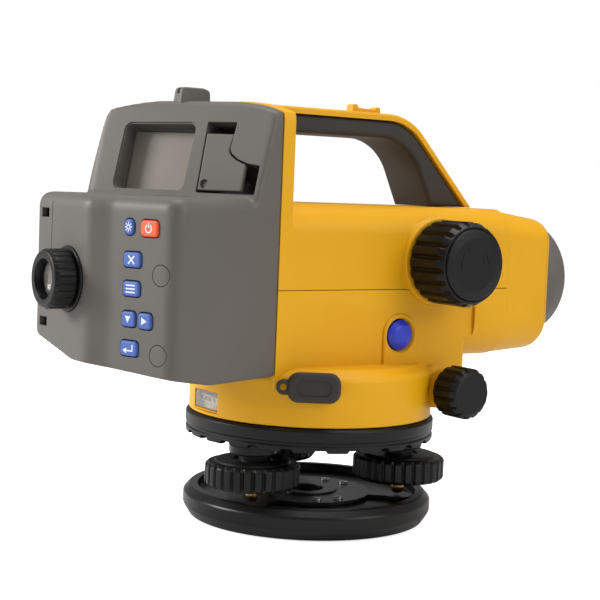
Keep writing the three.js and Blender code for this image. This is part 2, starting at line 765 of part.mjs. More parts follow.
function rearHousing() {
  const rim = 5.5;
  const zone = box([-60, -130, 60], [60, JOINT_Y - GAP, 200]);
  const plans = [eyepiecePlan, keypadPlan];
  const block = (plan, inset, edge) => pushZ(plan(inset), HOUSING_BOTTOM - 5, LEDGE_Z - inset, edge);
  const upper = (inset, roofEdge, faceEdge) =>
    common(
      pushZ(roofPlan(inset), 110, ROOF_Z - inset, roofEdge),
      onFace(displayFrame, faceShape(inset), -80, -inset, faceEdge),
      underRoof(inset),
    );
  const blocks = (inset, edge) =>
    common(join(...plans.map((plan) => block(plan, inset, edge))), underside(inset));
  const whole = common(join(blocks(0, rim), upper(0, ROOF_EDGE, rim)), zone);
  const mouth = box(
    [-(BODY_HALF - WALL), JOINT_Y - 12, PASSAGE_Z],
    [BODY_HALF - WALL, JOINT_Y + 5, ROOF_Z - 14],
  );
  const tubs = join(
    onFace(displayFrame, lcdShape(2), -LCD_DEPTH - 2, -1),
    onFace(displayFrame, rectangle(12.6, -13.2, 44.5, 22), -19, -1),
  );
  const shell = join(
    cut(whole, blocks(WALL, 3), upper(WALL, ROOF_EDGE - WALL, 3), mouth),
    common(tubs, whole),
  );
  const keyHoles = KEYS.map((key) => onFace(keypadFrame, keyOutline(key, 0.4), -12, 5));
  const capSeats = CAPS.map((cap) => onFace(keypadFrame, disc(cap, CAP_R + GAP), -4.2, 5));
  const display = onFace(displayFrame, lcdShape(0), -LCD_DEPTH, 10);
  const glassHole = onFace(displayFrame, rectangle(-22, -7, 4, 16, 1), -LCD_DEPTH - 4, 0);
  const recess = onFace(displayFrame, recessShape, -17, 10);
  const eyepieceHole = turnedY(tube(0, 11.4, -140, -110));
  const turret = turnedZ(tube(0, TURRET_R + GAP, 60, TURRET_TOP + GAP), 0, 0, 36);
  const openings = [...keyHoles, ...capSeats, display, glassHole, recess, eyepieceHole, turret];
  add("rear_housing", cut(shell, ...openings), grey);

  for (const key of KEYS) add(key.name, onFace(keypadFrame, keyOutline(key), -3.2, 1.2, 0.5), key.material);
  for (const cap of CAPS) {
    add(cap.name, common(onFace(keypadFrame, disc(cap, CAP_R), -3.9, 5), whole), grey);
  }
  add("keypad_mat", onFace(keypadFrame, rectangle(8, 83, 26, 140, 3), -6.2, -4.4), rubber);
}

function displayAndViewer() {
  const floor = -LCD_DEPTH;
  const pane = onFace(displayFrame, rectangle(-26.5, -9.4, 5.5, 17.8, 1), floor + GAP, floor + 1.5);
  add("display_window", pane, glass);
  const module = onFace(displayFrame, rectangle(-26, -11, 9, 21), -17, floor - 2 - GAP);
  add("display_module", module, board);
  add("viewer_flap", onFace(displayFrame, flapShape, -2, -0.1, 0.3), grey);
  const vialProfile = [
    [0, 0],
    [6.5, 0],
    [6.5, 5],
    [5, 6.4],
    [0, 6.8],
  ];
  add("circular_vial", turned(vialProfile, 20), glass, [22.8, -59.2, 149.4]);
}

function rearSight() {
  const side = outline([
    [-73, ROOF_Z + GAP],
    [-57, ROOF_Z + GAP],
    [-57.5, TOTAL_HEIGHT - 1, 1.5],
    [-61, TOTAL_HEIGHT, 2],
    [-71.5, TOTAL_HEIGHT, 2],
  ]);
  const notch = box([-9.5, -80, 193.2], [-7.5, -69, 200]);
  add("rear_sight", cut(pushX(side, -12, -5, 0.6), notch), grey);
}

// ---------------------------------------------------------------- focusing knob
function focusDrive() {
  const { y, z, radius, back, front, flutes } = FOCUS;
  const rim = [
    [0, front - 5],
    [radius - 1.6, front - 5],
    [radius - 1.6, front - 3],
    [radius - 2.1, front - 1.6],
    [0, front - 1.6],
  ];
  const knob = cut(
    join(pushZ(fluted(radius, flutes, 1.6), back, front - 3, 1), turnedZ(rim, 0, 0, 32)),
    turnedZ(tube(0, 16.5, front - 3, front), 0, 0, 32),
    turnedZ(tube(0, 3.1, back - 1, front - 8), 0, 0, 20),
  );
  add("focus_knob", geometryOf(knob).rotateY(Math.PI / 2).translate(0, y, z), black);
  const cap = [
    [0, front - 2.7],
    [16.2, front - 2.7],
    [16.2, front - 0.8],
    [15.2, front],
    [0, front],
  ];
  add("focus_knob_cap", turnedX(cap, y, z, 32), black);
  const shaft = [
    [0, 19.5],
    [4, 19.5],
    [4, 25],
    [3, 26],
    [3, front - 8.3],
    [0, front - 8.3],
  ];
  add("focus_pinion_shaft", turnedX(shaft, y, z, 20), steel);
}

// ---------------------------------------------------------------- optics
function lensProfile(radius, middle, thickness, bulge) {
  const half = thickness / 2;
  return [
    [0, middle - half - bulge],
    [radius * 0.6, middle - half - bulge * 0.62],
    [radius, middle - half],
    [radius, middle + half],
    [radius * 0.6, middle + half + bulge * 0.62],
    [0, middle + half + bulge],
  ];
}

function telescope() {
  add("objective_cell", turnedY(tube(23.3, 26.6, 106, NOSE_FRONT)), alloy);
  add("objective_lens", turnedY(lensProfile(23, 113.5, 5, 3)), glass);
  add("telescope_tube", turnedY(tube(15, 17, 30, 105.7)), alloy);
  add("focusing_cell", turnedY(tube(11.2, 14.9, 52, 64), TELESCOPE_Z, 24), brass);
  add("focusing_lens", turnedY(lensProfile(10.9, 58, 3, 1.5), TELESCOPE_Z, 24), glass);
  add("eyepiece_tube", turnedY(tube(9, 11, -126, -70), TELESCOPE_Z, 24), alloy);
  add("reticle", turnedY(tube(0, 8.7, -77, -75), TELESCOPE_Z, 24), glass);
  const ringProfile = [
    [9.2, -128.3],
    [11, -128.3],
    [11, 2.5 - HALF_LENGTH],
    [10.6, -HALF_LENGTH],
    [8.4, -HALF_LENGTH],
    [7.9, 2.5 - HALF_LENGTH],
    [7.9, -131.5],
    [9.2, -130],
  ];
  const flutes = slab(fluted(12.6, 14, 0.7), 8.6, 0.5).rotateX(-Math.PI / 2);
  const grip = cut(
    solid(flutes.translate(0, 1.6 - HALF_LENGTH, TELESCOPE_Z)),
    turnedY(tube(0, 10.4, -150, -120), TELESCOPE_Z, 24),
  );
  add("eyepiece_ring", join(grip, turnedY(ringProfile.reverse(), TELESCOPE_Z, 24)), black);
  add("eyepiece_lens", turnedY(lensProfile(7.6, -133.5, 2, 1), TELESCOPE_Z, 24), glass);
}

function measuringUnit() {
  const frame = cut(
    box([-18, -22, 94], [18, 22, 130]),
    box([-14.5, -30, 97], [14.5, 30, 126.5]),
  );
  add("compensator_frame", frame, alloy);
  const pendulum = join(
    box([-9, -10, 100], [9, 10, 122]),
    turnedX(tube(0, 1.6, -13.8, 13.8), 0, 123, 16),
  );
  add("compensator_pendulum", cut(pendulum, box([-6, -20, 104], [6, 20, 118])), steel);
  add("beam_splitter", box([-7, -48, 105], [7, -34, 119]), glass);
  add("sensor_board", box([-14, -56, 101.5], [14, -28, 103.1]), board);
  add("battery", box([-33, -28, 76], [-20, 35, 104]), black);
  const [yLow, zLow] = DOOR.low;
  const [yHigh, zHigh] = DOOR.high;
  const door = pushX(rectangle(yLow, zLow, yHigh, zHigh, 4), -2.1, 0, 0.8);
  add("battery_door", door.translate(-(BODY_HALF + GAP), 0, 0), yellow);
}

basePlate();
springPlate();
levellingScrews();
levellingHead();
circleRing();
wormDrive();
lowerCasing();
measureButton();
upperCasing();
carryHandle();
nose();
rearHousing();
displayAndViewer();
rearSight();
focusDrive();
telescope();
measuringUnit();

export default level;
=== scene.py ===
"""The looks of the automatic level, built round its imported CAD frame.

Shapes are drawn in millimetres in the object's own frame and scaled to metres when a piece is finished.
+Z is up along the vertical axis, +Y runs forward to the objective, +X is the focusing knob's side.
"""
import json
import math

import bmesh
import bpy
from mathutils import Matrix, Vector


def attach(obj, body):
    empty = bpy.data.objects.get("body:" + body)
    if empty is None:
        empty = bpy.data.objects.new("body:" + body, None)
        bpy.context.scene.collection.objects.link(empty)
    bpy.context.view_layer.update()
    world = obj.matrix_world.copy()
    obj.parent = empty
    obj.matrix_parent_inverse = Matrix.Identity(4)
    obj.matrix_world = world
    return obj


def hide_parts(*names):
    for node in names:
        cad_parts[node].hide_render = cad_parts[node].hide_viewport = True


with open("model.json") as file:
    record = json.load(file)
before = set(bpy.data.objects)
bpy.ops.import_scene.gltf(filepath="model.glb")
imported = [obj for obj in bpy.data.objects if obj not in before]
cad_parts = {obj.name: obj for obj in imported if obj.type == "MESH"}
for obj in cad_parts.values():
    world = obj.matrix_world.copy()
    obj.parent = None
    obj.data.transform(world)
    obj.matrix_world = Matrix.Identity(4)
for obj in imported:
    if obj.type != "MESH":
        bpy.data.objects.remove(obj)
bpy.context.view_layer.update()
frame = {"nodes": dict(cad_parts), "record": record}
nodes = frame["nodes"]
MM = 0.001

# ---------------------------------------------------------------- the CAD's driving dimensions
BODY_HALF = 37
SEAM_Z = 109
DECK_Z = 147
JOINT_Y = -45.5
COLLAR_FRONT = -39.5
COLUMN_FRONT = 68
NOSE_JOINT = 88.5
NOSE_FRONT = 121
ROOF_Z = 191
ROOF_R = 130
ROOF_EDGE = 9
TURRET_R = 57
TURRET_TOP = 75.1
TELESCOPE_Z = 112
GAP = 0.3
WALL = 2.6
FOCUS_Y, FOCUS_Z = 43, 122
FINE_Y, FINE_Z = 44.4, 63.2
BUTTON_Y, BUTTON_Z = 22.3, 88.2
SCREWS = {"a": -70.5, "b": 49.5, "c": 169.5}
SCREW_CIRCLE_R = 43
VALLEY = (22.0, -120.5)
PANEL_TURN = math.radians(18)
FACE_TURN = math.radians(29)
FACE_TILT = math.radians(16)
PASSAGE_Z = 98
LOWER_BACK = -127
LEDGE_Z = 148
HOUSING_BOTTOM = 71.5

def sideways(y, z, side=1):
    """Turns a revolved piece's axis to point out of one side, through a point of the side view."""
    return Matrix.Translation((0, y, z)) @ Matrix.Rotation(side * math.pi / 2, 4, "Y")


ALONG_X = Matrix(((0, 0, 1, 0), (1, 0, 0, 0), (0, 1, 0, 0), (0, 0, 0, 1)))
ALONG_Y = Matrix(((-1, 0, 0, 0), (0, 0, 1, 0), (0, 1, 0, 0), (0, 0, 0, 1)))
TELESCOPE = Matrix.Translation((0, 0, TELESCOPE_Z)) @ Matrix.Rotation(-math.pi / 2, 4, "X")
EYEPIECE = TELESCOPE @ Matrix.Rotation(math.pi, 4, "X")
FOCUS_AXIS = sideways(FOCUS_Y, FOCUS_Z)
FINE_AXIS = sideways(FINE_Y, FINE_Z)
BUTTON_AXIS = sideways(BUTTON_Y, BUTTON_Z)
DISPLAY = (
    Matrix.Translation((0.9, -79.4, 161))
    @ Matrix.Rotation(FACE_TURN, 4, "Z")
    @ Matrix.Rotation(math.pi / 2 - FACE_TILT, 4, "X")
)
KEYPAD = (
    Matrix.Translation((VALLEY[0], VALLEY[1], 0))
    @ Matrix.Rotation(PANEL_TURN, 4, "Z")
    @ Matrix.Rotation(math.pi / 2, 4, "X")
)
PORT = (
    Matrix.Translation((0, 0, 68))
    @ Matrix.Rotation(math.radians(-34), 4, "Z")
    @ Matrix.Rotation(math.pi / 2, 4, "Y")
)


# ---------------------------------------------------------------- materials
def make_material(
    name,
    colour,
    roughness,
    grain=0.45,
    bump=0.12,
    mottle=0.05,
    metallic=0.0,
    edge=0.0,
    coat=0.0,
    bevel=0.35,
    specular=0.5,
):
    """A moulded or painted surface: broad tone variation, fine grain, colour lightened along sharp convex
    edges and softened corners.
    """
    mat = bpy.data.materials.new(name)
    mat.use_nodes = True
    tree = mat.node_tree
    make, link = tree.nodes.new, tree.links.new
    shader = tree.nodes["Principled BSDF"]
    coords = make("ShaderNodeTexCoord")

    def noise(size_mm, detail):
        node = make("ShaderNodeTexNoise")
        node.inputs["Scale"].default_value = 1 / (size_mm * MM)
        node.inputs["Detail"].default_value = detail
        link(coords.outputs["Object"], node.inputs["Vector"])
        return node

    def remap(socket, low, high):
        node = make("ShaderNodeMapRange")
        node.inputs["To Min"].default_value = low
        node.inputs["To Max"].default_value = high
        link(socket, node.inputs["Value"])
        return node.outputs["Result"]

    broad = noise(38, 4)
    fine = noise(grain, 3)
    tone = make("ShaderNodeHueSaturation")
    tone.inputs["Color"].default_value = (*colour, 1)
    link(remap(broad.outputs["Fac"], 1 - mottle * 2, 1 + mottle * 2), tone.inputs["Value"])
    speckle = make("ShaderNodeHueSaturation")
    link(tone.outputs["Color"], speckle.inputs["Color"])
    link(remap(fine.outputs["Fac"], 1 - mottle, 1 + mottle), speckle.inputs["Value"])
    last = speckle.outputs["Color"]
    if edge:
        # The colour is made lighter along sharp convex edges, found from the mesh's pointiness.
        geometry = make("ShaderNodeNewGeometry")
        edge_lightening = make("ShaderNodeMapRange")
        edge_lightening.inputs["From Min"].default_value = 0.53
        edge_lightening.inputs["From Max"].default_value = 0.68
        edge_lightening.inputs["To Max"].default_value = edge
        link(geometry.outputs["Pointiness"], edge_lightening.inputs["Value"])
        lighter = make("ShaderNodeMix")
        lighter.data_type = "RGBA"
        lighter.inputs["B"].default_value = (*[min(1, c * 1.7 + 0.03) for c in colour], 1)
        link(edge_lightening.outputs["Result"], lighter.inputs["Factor"])
        link(last, lighter.inputs["A"])
        last = lighter.outputs["Result"]
    link(last, shader.inputs["Base Color"])
    link(remap(broad.outputs["Fac"], roughness - 0.07, roughness + 0.07), shader.inputs["Roughness"])
    shader.inputs["Metallic"].default_value = metallic
    shader.inputs["Coat Weight"].default_value = coat
    shader.inputs["Specular IOR Level"].default_value = specular
    relief = make("ShaderNodeBump")
    relief.inputs["Strength"].default_value = bump
    relief.inputs["Distance"].default_value = 0.00012
    link(fine.outputs["Fac"], relief.inputs["Height"])
    if bevel:
        corner = make("ShaderNodeBevel")
        corner.samples = 4
        corner.inputs["Radius"].default_value = bevel * MM
        link(corner.outputs["Normal"], relief.inputs["Normal"])
    link(relief.outputs["Normal"], shader.inputs["Normal"])
    return mat


def make_metal(name, colour, roughness, ring_mm=0.35):
    """Turned metal: fine machining marks along the height, and patchy polish."""
    mat = make_material(name, colour, roughness, grain=0.8, bump=0.05, mottle=0.04, metallic=1.0)
    tree = mat.node_tree
    make, link = tree.nodes.new, tree.links.new
    coords = make("ShaderNodeTexCoord")
    marks = make("ShaderNodeTexWave")
    marks.bands_direction = "Z"
    marks.inputs["Scale"].default_value = 1 / (ring_mm * 6.3 * MM)
    marks.inputs["Distortion"].default_value = 0.6
    link(coords.outputs["Object"], marks.inputs["Vector"])
    relief = make("ShaderNodeBump")
    relief.inputs["Strength"].default_value = 0.25
    relief.inputs["Distance"].default_value = 0.00008
    link(marks.outputs["Fac"], relief.inputs["Height"])
    link(relief.outputs["Normal"], tree.nodes["Principled BSDF"].inputs["Normal"])
    return mat


def make_glass(name, colour, roughness=0.03):
    """Clear polished glass."""
    mat = make_material(name, colour, 0.1, grain=6, bump=0.01, mottle=0.02, bevel=0)
    shader = mat.node_tree.nodes["Principled BSDF"]
    for link in list(shader.inputs["Roughness"].links):
        mat.node_tree.links.remove(link)
    shader.inputs["Roughness"].default_value = roughness
    shader.inputs["Transmission Weight"].default_value = 0.92
    shader.inputs["IOR"].default_value = 1.5
    return mat


def make_screen(name):
    """A dead liquid-crystal screen: brownish grey, with a faint grid of cells under its front."""
    mat = make_material(name, (0.22, 0.19, 0.16), 0.5, grain=5, bump=0.0, mottle=0.05, coat=0.15, bevel=0)
    tree = mat.node_tree
    make, link = tree.nodes.new, tree.links.new
    shader = tree.nodes["Principled BSDF"]
    source = shader.inputs["Base Color"].links[0].from_socket
    coords = make("ShaderNodeTexCoord")
    cells = make("ShaderNodeTexBrick")
    cells.inputs["Scale"].default_value = 1 / (0.9 * MM)
    cells.inputs["Color1"].default_value = (1, 1, 1, 1)
    cells.inputs["Color2"].default_value = (1, 1, 1, 1)
    cells.inputs["Mortar"].default_value = (0.82, 0.82, 0.82, 1)
    cells.inputs["Mortar Size"].default_value = 0.03
    cells.offset = 0
    link(coords.outputs["Object"], cells.inputs["Vector"])
    mix = make("ShaderNodeMix")
    mix.data_type = "RGBA"
    mix.blend_type = "MULTIPLY"
    mix.inputs["Factor"].default_value = 1
    link(source, mix.inputs["A"])
    link(cells.outputs["Color"], mix.inputs["B"])
    link(mix.outputs["Result"], shader.inputs["Base Color"])
    return mat


def make_scale(name):
    """Off-white circle with a dark tick at each degree round the vertical axis."""
    mat = make_material(name, (0.72, 0.7, 0.64), 0.5, bump=0.02, mottle=0.03, bevel=0)
    tree = mat.node_tree
    make, link = tree.nodes.new, tree.links.new
    shader = tree.nodes["Principled BSDF"]
    source = shader.inputs["Base Color"].links[0].from_socket
    coords = make("ShaderNodeTexCoord")
    split = make("ShaderNodeSeparateXYZ")
    link(coords.outputs["Object"], split.inputs["Vector"])

    def maths(operation, first, second):
        node = make("ShaderNodeMath")
        node.operation = operation
        for index, value in enumerate((first, second)):
            if isinstance(value, (int, float)):
                node.inputs[index].default_value = value
            else:
                link(value, node.inputs[index])
        return node.outputs[0]

    angle = maths("ARCTAN2", split.outputs["Y"], split.outputs["X"])
    step = maths("FRACT", maths("MULTIPLY", angle, 180 / math.pi), 0)
    tick = maths("LESS_THAN", step, 0.22)
    low = maths("LESS_THAN", split.outputs["Z"], 0.0545)
    shown = maths("MULTIPLY", tick, low)
    mix = make("ShaderNodeMix")
    mix.data_type = "RGBA"
    mix.inputs["B"].default_value = (0.02, 0.02, 0.02, 1)
    link(shown, mix.inputs["Factor"])
    link(source, mix.inputs["A"])
    link(mix.outputs["Result"], shader.inputs["Base Color"])
    return mat


MATERIALS = {
    "yellow_casing": make_material(
        "yellow_casing", (0.7, 0.345, 0.003), 0.45,
        grain=0.55, bump=0.16, mottle=0.02, edge=0.1, specular=0.25,
    ),
    "grey_plastic": make_material(
        "grey_plastic", (0.108, 0.098, 0.087), 0.5,
        grain=0.4, bump=0.4, mottle=0.05, edge=0.25, specular=0.35,
    ),
    "black_plastic": make_material(
        "black_plastic", (0.005, 0.0048, 0.0045), 0.4,
        grain=0.4, bump=0.3, mottle=0.08, edge=0.15, specular=0.25,
    ),
    "black_metal": make_material(
        "black_metal", (0.005, 0.0048, 0.0045), 0.32,
        grain=0.6, bump=0.2, mottle=0.06, edge=0.15, specular=0.25,
    ),
    "rubber": make_material("rubber", (0.022, 0.018, 0.014), 0.7, grain=0.35, bump=0.5, mottle=0.1, edge=0.2),
    "blue_plastic": make_material("blue_plastic", (0.012, 0.035, 0.5), 0.36, grain=1.1, bump=0.5, mottle=0.1),
    "key_blue": make_material("key_blue", (0.04, 0.1, 0.36), 0.5, grain=0.3, bump=0.2, mottle=0.06, edge=0.4),
    "key_orange": make_material("key_orange", (0.85, 0.085, 0.02), 0.5, grain=0.3, bump=0.2, edge=0.3),
    "legend_white": make_material("legend_white", (0.62, 0.66, 0.74), 0.6, grain=0.2, bump=0.1, bevel=0),
    "legend_red": make_material("legend_red", (0.36, 0.05, 0.03), 0.6, grain=0.2, bump=0.1, bevel=0),
    "brass": make_metal("brass", (0.62, 0.4, 0.12), 0.3),
    "steel": make_metal("steel", (0.48, 0.49, 0.5), 0.3),
    "aluminium": make_metal("aluminium", (0.5, 0.51, 0.52), 0.42),
    "glass": make_glass("glass", (0.9, 0.86, 0.8)),
    "scale_plastic": make_scale("scale_plastic"),
    "circuit_board": make_material(
        "circuit_board", (0.015, 0.11, 0.04), 0.4, grain=1.4, bump=0.5, mottle=0.25
    ),
    "battery_pack": make_material(
        "battery_pack", (0.02, 0.02, 0.024), 0.5, grain=0.5, bump=0.25, mottle=0.08
    ),
    "screen": make_screen("screen"),
}


# ---------------------------------------------------------------- shapes
def inset_corners(corners, depth):
    """Corners [x, y, radius] of an anticlockwise outline moved inward by depth. Round corners stay round."""
    moved = []
    count = len(corners)
    for i, (x, y, radius) in enumerate(corners):
        before = Vector(corners[i - 1][:2])
        after = Vector(corners[(i + 1) % count][:2])
        here = Vector((x, y))
        first = (here - before).normalized()
        second = (after - here).normalized()
        n0 = Vector((-first.y, first.x))
        n1 = Vector((-second.y, second.x))
        offset = (n0 + n1) * (depth / (1 + n0.dot(n1)))
        convex = first.x * second.y - first.y * second.x > 0
        grown = radius - depth if convex else radius + depth
        moved.append((x + offset.x, y + offset.y, max(0.02, grown) if radius > 0 else 0))
    return moved


def outline(corners, steps=8):
    """The points of a closed outline whose corners [x, y, radius] are drawn as arcs."""
    points = []
    count = len(corners)
    for i, (x, y, radius) in enumerate(corners):
        here = Vector((x, y))
        if radius <= 0:
            points.append(here)
            continue
        back = (Vector(corners[i - 1][:2]) - here).normalized()
        ahead = (Vector(corners[(i + 1) % count][:2]) - here).normalized()
        half = back.angle(ahead) / 2
        centre = here + (back + ahead).normalized() * (radius / math.sin(half))
        start = here + back * (radius / math.tan(half)) - centre
        end = here + ahead * (radius / math.tan(half)) - centre
        angle = math.atan2(start.y, start.x)
        turn = (math.atan2(end.y, end.x) - angle + math.pi) % (2 * math.pi) - math.pi
        for k in range(steps + 1):
            a = angle + turn * k / steps
            points.append(centre + Vector((math.cos(a), math.sin(a))) * radius)
    return points


def corners_of(*corners):
    return [(c[0], c[1], c[2] if len(c) > 2 else 0) for c in corners]


def rectangle(x0, y0, x1, y1, radius=0):
    return corners_of((x0, y0, radius), (x1, y0, radius), (x1, y1, radius), (x0, y1, radius))


def add_object(name, data):
    made = bpy.data.objects.new(name, data)
    bpy.context.scene.collection.objects.link(made)
    return made


def evaluated_mesh(made):
    """An object's mesh with its modifiers applied."""
    bpy.context.view_layer.update()
    graph = bpy.context.evaluated_depsgraph_get()
    return bpy.data.meshes.new_from_object(made.evaluated_get(graph))


def to_object(bm, place=None):
    bmesh.ops.remove_doubles(bm, verts=bm.verts, dist=1e-4)
    bmesh.ops.recalc_face_normals(bm, faces=bm.faces)
    if place is not None:
        bm.transform(place)
        if place.determinant() < 0:
            bmesh.ops.reverse_faces(bm, faces=bm.faces)
    mesh = bpy.data.meshes.new("shape")
    bm.to_mesh(mesh)
    bm.free()
    return add_object("shape", mesh)


def loft(corners, low, high, rim=(0, 0), place=None, steps=8, rim_steps=5):
    """An outline pushed from low to high along its own z, with the two rims rounded."""
    levels = []
    for radius, base, sign in ((rim[0], low, 1), (rim[1], high, -1)):
        part = []
        count = rim_steps if radius > 0 else 0
        for k in range(count + 1):
            a = math.pi / 2 * k / max(1, count)
            part.append((radius * (1 - math.sin(a)), base + sign * radius * (1 - math.cos(a))))
        levels += part if sign > 0 else part[::-1]
    bm = bmesh.new()
    rings = []
    for depth, z in levels:
        shape = outline(inset_corners(corners, depth), steps)
        rings.append([bm.verts.new((p.x, p.y, z)) for p in shape])
    count = len(rings[0])
    for lower, upper in zip(rings, rings[1:]):
        for i in range(count):
            j = (i + 1) % count
            bm.faces.new((lower[i], lower[j], upper[j], upper[i]))
    bm.faces.new(rings[0][::-1])
    bm.faces.new(rings[-1])
    return to_object(bm, place)


def revolve(profile, segments=128, place=None, shape=None, steps=4):
    """A body of revolution about z from corners [radius, height, fillet]. shape may move each point."""
    points = outline(corners_of(*profile), steps)
    bm = bmesh.new()
    axis = {}
    rings = []
    for j in range(segments):
        angle = 2 * math.pi * j / segments
        ring = []
        for i, p in enumerate(points):
            r, h = shape(angle, p.x, p.y) if shape else (p.x, p.y)
            if r < 1e-5:
                if i not in axis:
                    axis[i] = bm.verts.new((0, 0, h))
                ring.append(axis[i])
            else:
                ring.append(bm.verts.new((r * math.cos(angle), r * math.sin(angle), h)))
        rings.append(ring)
    for j in range(segments):
        near, far = rings[j], rings[(j + 1) % segments]
        for i in range(len(points)):
            k = (i + 1) % len(points)
            face = list(dict.fromkeys((near[i], far[i], far[k], near[k])))
            if len(face) > 2:
                bm.faces.new(face)
    return to_object(bm, place)


def grooves(count, depth, width, least_radius, low, high, fade=0.8):
    """Moves points of a knob's rim inward in evenly spaced grooves, between two heights."""

    def shape(angle, r, h):
        if r < least_radius:
            return r, h
        phase = (angle * count / (2 * math.pi)) % 1 - 0.5
        notch = max(0.0, 1 - (abs(phase) / width) ** 2)
        ends = min(1.0, max(0.0, (h - low) / fade), max(0.0, (high - h) / fade))
        return r - depth * notch * ends, h

    return shape


def block(low, high):
    return loft(rectangle(low[0], low[1], high[0], high[1]), low[2], high[2])


def bake(made):
    """Applies an object's modifiers to its mesh."""
    mesh = evaluated_mesh(made)
    made.modifiers.clear()
    made.data = mesh
    return made


def combine(base, operation, tools):
    for tool in tools:
        step = base.modifiers.new("combine", "BOOLEAN")
        step.operation = operation
        step.solver = "MANIFOLD"
        step.object = tool
    bake(base)
    for tool in tools:
        bpy.data.objects.remove(tool)
    return base


def cut(base, *tools):
    return combine(base, "DIFFERENCE", tools)


def join(base, *tools):
    return combine(base, "UNION", tools)


def common(base, *tools):
    return combine(base, "INTERSECT", tools)


def soften(made, voxel, rounds):
    """Rounds every edge and valley: a fine voxel skin, then smoothing."""
    skin = made.modifiers.new("skin", "REMESH")
    skin.mode = "VOXEL"
    skin.voxel_size = voxel
    smooth = made.modifiers.new("smooth", "SMOOTH")
    smooth.factor = 0.5
    smooth.iterations = rounds
    return bake(made)


def finish(made, name, body, slot, material=None, stands_for=(), angle=32):
    """Names the piece, scales it to metres, shades it and hangs it on its CAD body."""
    made.name = name
    made.data.name = name
    made.data.transform(Matrix.Scale(MM, 4))
    made.data.materials.clear()
    made.data.materials.append(MATERIALS[material or slot])
    made.data.shade_smooth()
    made.data.set_sharp_from_angle(angle=math.radians(angle))
    weights = made.modifiers.new("weights", "WEIGHTED_NORMAL")
    weights.keep_sharp = True
    bake(made)
    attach(made, body)
    if stands_for:
        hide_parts(*stands_for)
    return made


# ---------------------------------------------------------------- levelling base
def at_screw(degrees):
    angle = math.radians(degrees)
    return Matrix.Translation((SCREW_CIRCLE_R * math.cos(angle), SCREW_CIRCLE_R * math.sin(angle), 0))


def levelling_base():
    flutes = 28
    plate = revolve(
        [
            (7.94, 0, 0.4), (55.2, 0, 0.8), (58.4, 5, 3), (58.4, 10.4, 2.2), (55.4, 13.5, 1.2),
            (51.6, 13.5, 0.6), (50.8, 9.5, 1), (14, 9.5, 0.5), (14, 12, 0.5), (7.94, 12, 0.4),
        ],
        192,
    )
    finish(plate, "base_plate_turned", "levelling_base", "black_metal", stands_for=["base_plate"])
    for k in range(3):
        for side in (-13, 13):
            angle = math.radians(-10.5 + 120 * k + side)
            place = Matrix.Translation((24 * math.cos(angle), 24 * math.sin(angle), 11.3))
            head = revolve([(0, 0), (2.2, 0), (2.2, 0.9, 0.4), (0, 1.1)], 32, place)
            turned = place @ Matrix.Rotation(angle * 3, 4, "Z")
            slit = loft(rectangle(-2.4, -0.3, 2.4, 0.3), 0.6, 2, place=turned)
            finish(cut(head, slit), f"plate_screw_{k}{'l' if side < 0 else 'r'}", "levelling_base", "steel")

    for letter, degrees in SCREWS.items():
        place = at_screw(degrees)
        stem = revolve(
            [
                (0, 11.7), (2.2, 12.4, 1), (3.45, 15.2, 2.5), (2.6, 18.0, 0.4), (2.6, 18.6, 0.1),
                (4.6, 18.6, 0.3), (4.6, 19.3, 0.2), (3, 19.3, 0.1), (3, 40.6, 0.4), (0, 40.6),
            ],
            64,
            place,
        )
        body = f"foot_screw_{letter}"
        finish(stem, body + "_turned", body, "brass", stands_for=[f"levelling_screw_{letter}"])
        knob = revolve(
            [
                (3.1, 19.5, 0.3), (19.8, 19.5, 0.8), (21.4, 21, 1.2), (21.4, 29.2, 1.2), (20, 30.4, 0.8),
                (17.4, 30.4, 0.4), (16.6, 31.6, 0.6), (9, 31.6, 0.5), (8.4, 30.9, 0.3), (6.5, 30.9, 0.3),
                (6.5, 36.2, 0.5), (3.1, 36.2, 0.2),
            ],
            flutes * 14,
            place,
            grooves(flutes, 1.15, 0.2, 18, 19.4, 30.6),
        )
        finish(
            knob, f"foot_knob_{letter}_fluted", body, "black_plastic", stands_for=[f"levelling_knob_{letter}"]
        )

    head = revolve([(9, 39.3, 0.3), (54, 39.3, 1), (54, 43.5, 0.6), (9, 43.5, 0.3)], 160)
    bosses, bores = [], []
    for degrees in SCREWS.values():
        place = at_screw(degrees)
        bosses.append(revolve([(0, 34.2), (10.5, 34.2, 0.7), (10.5, 39.5), (0, 39.5)], 96, place))
        bore = [(0, 33), (7.2, 33), (7.2, 38.4), (3.35, 38.4), (3.35, 45), (0, 45)]
        bores.append(revolve(bore, 64, place))
    casting = cut(join(head, *bosses), *bores)
    finish(casting, "levelling_head_cast", "head", "black_metal", stands_for=["levelling_head"])


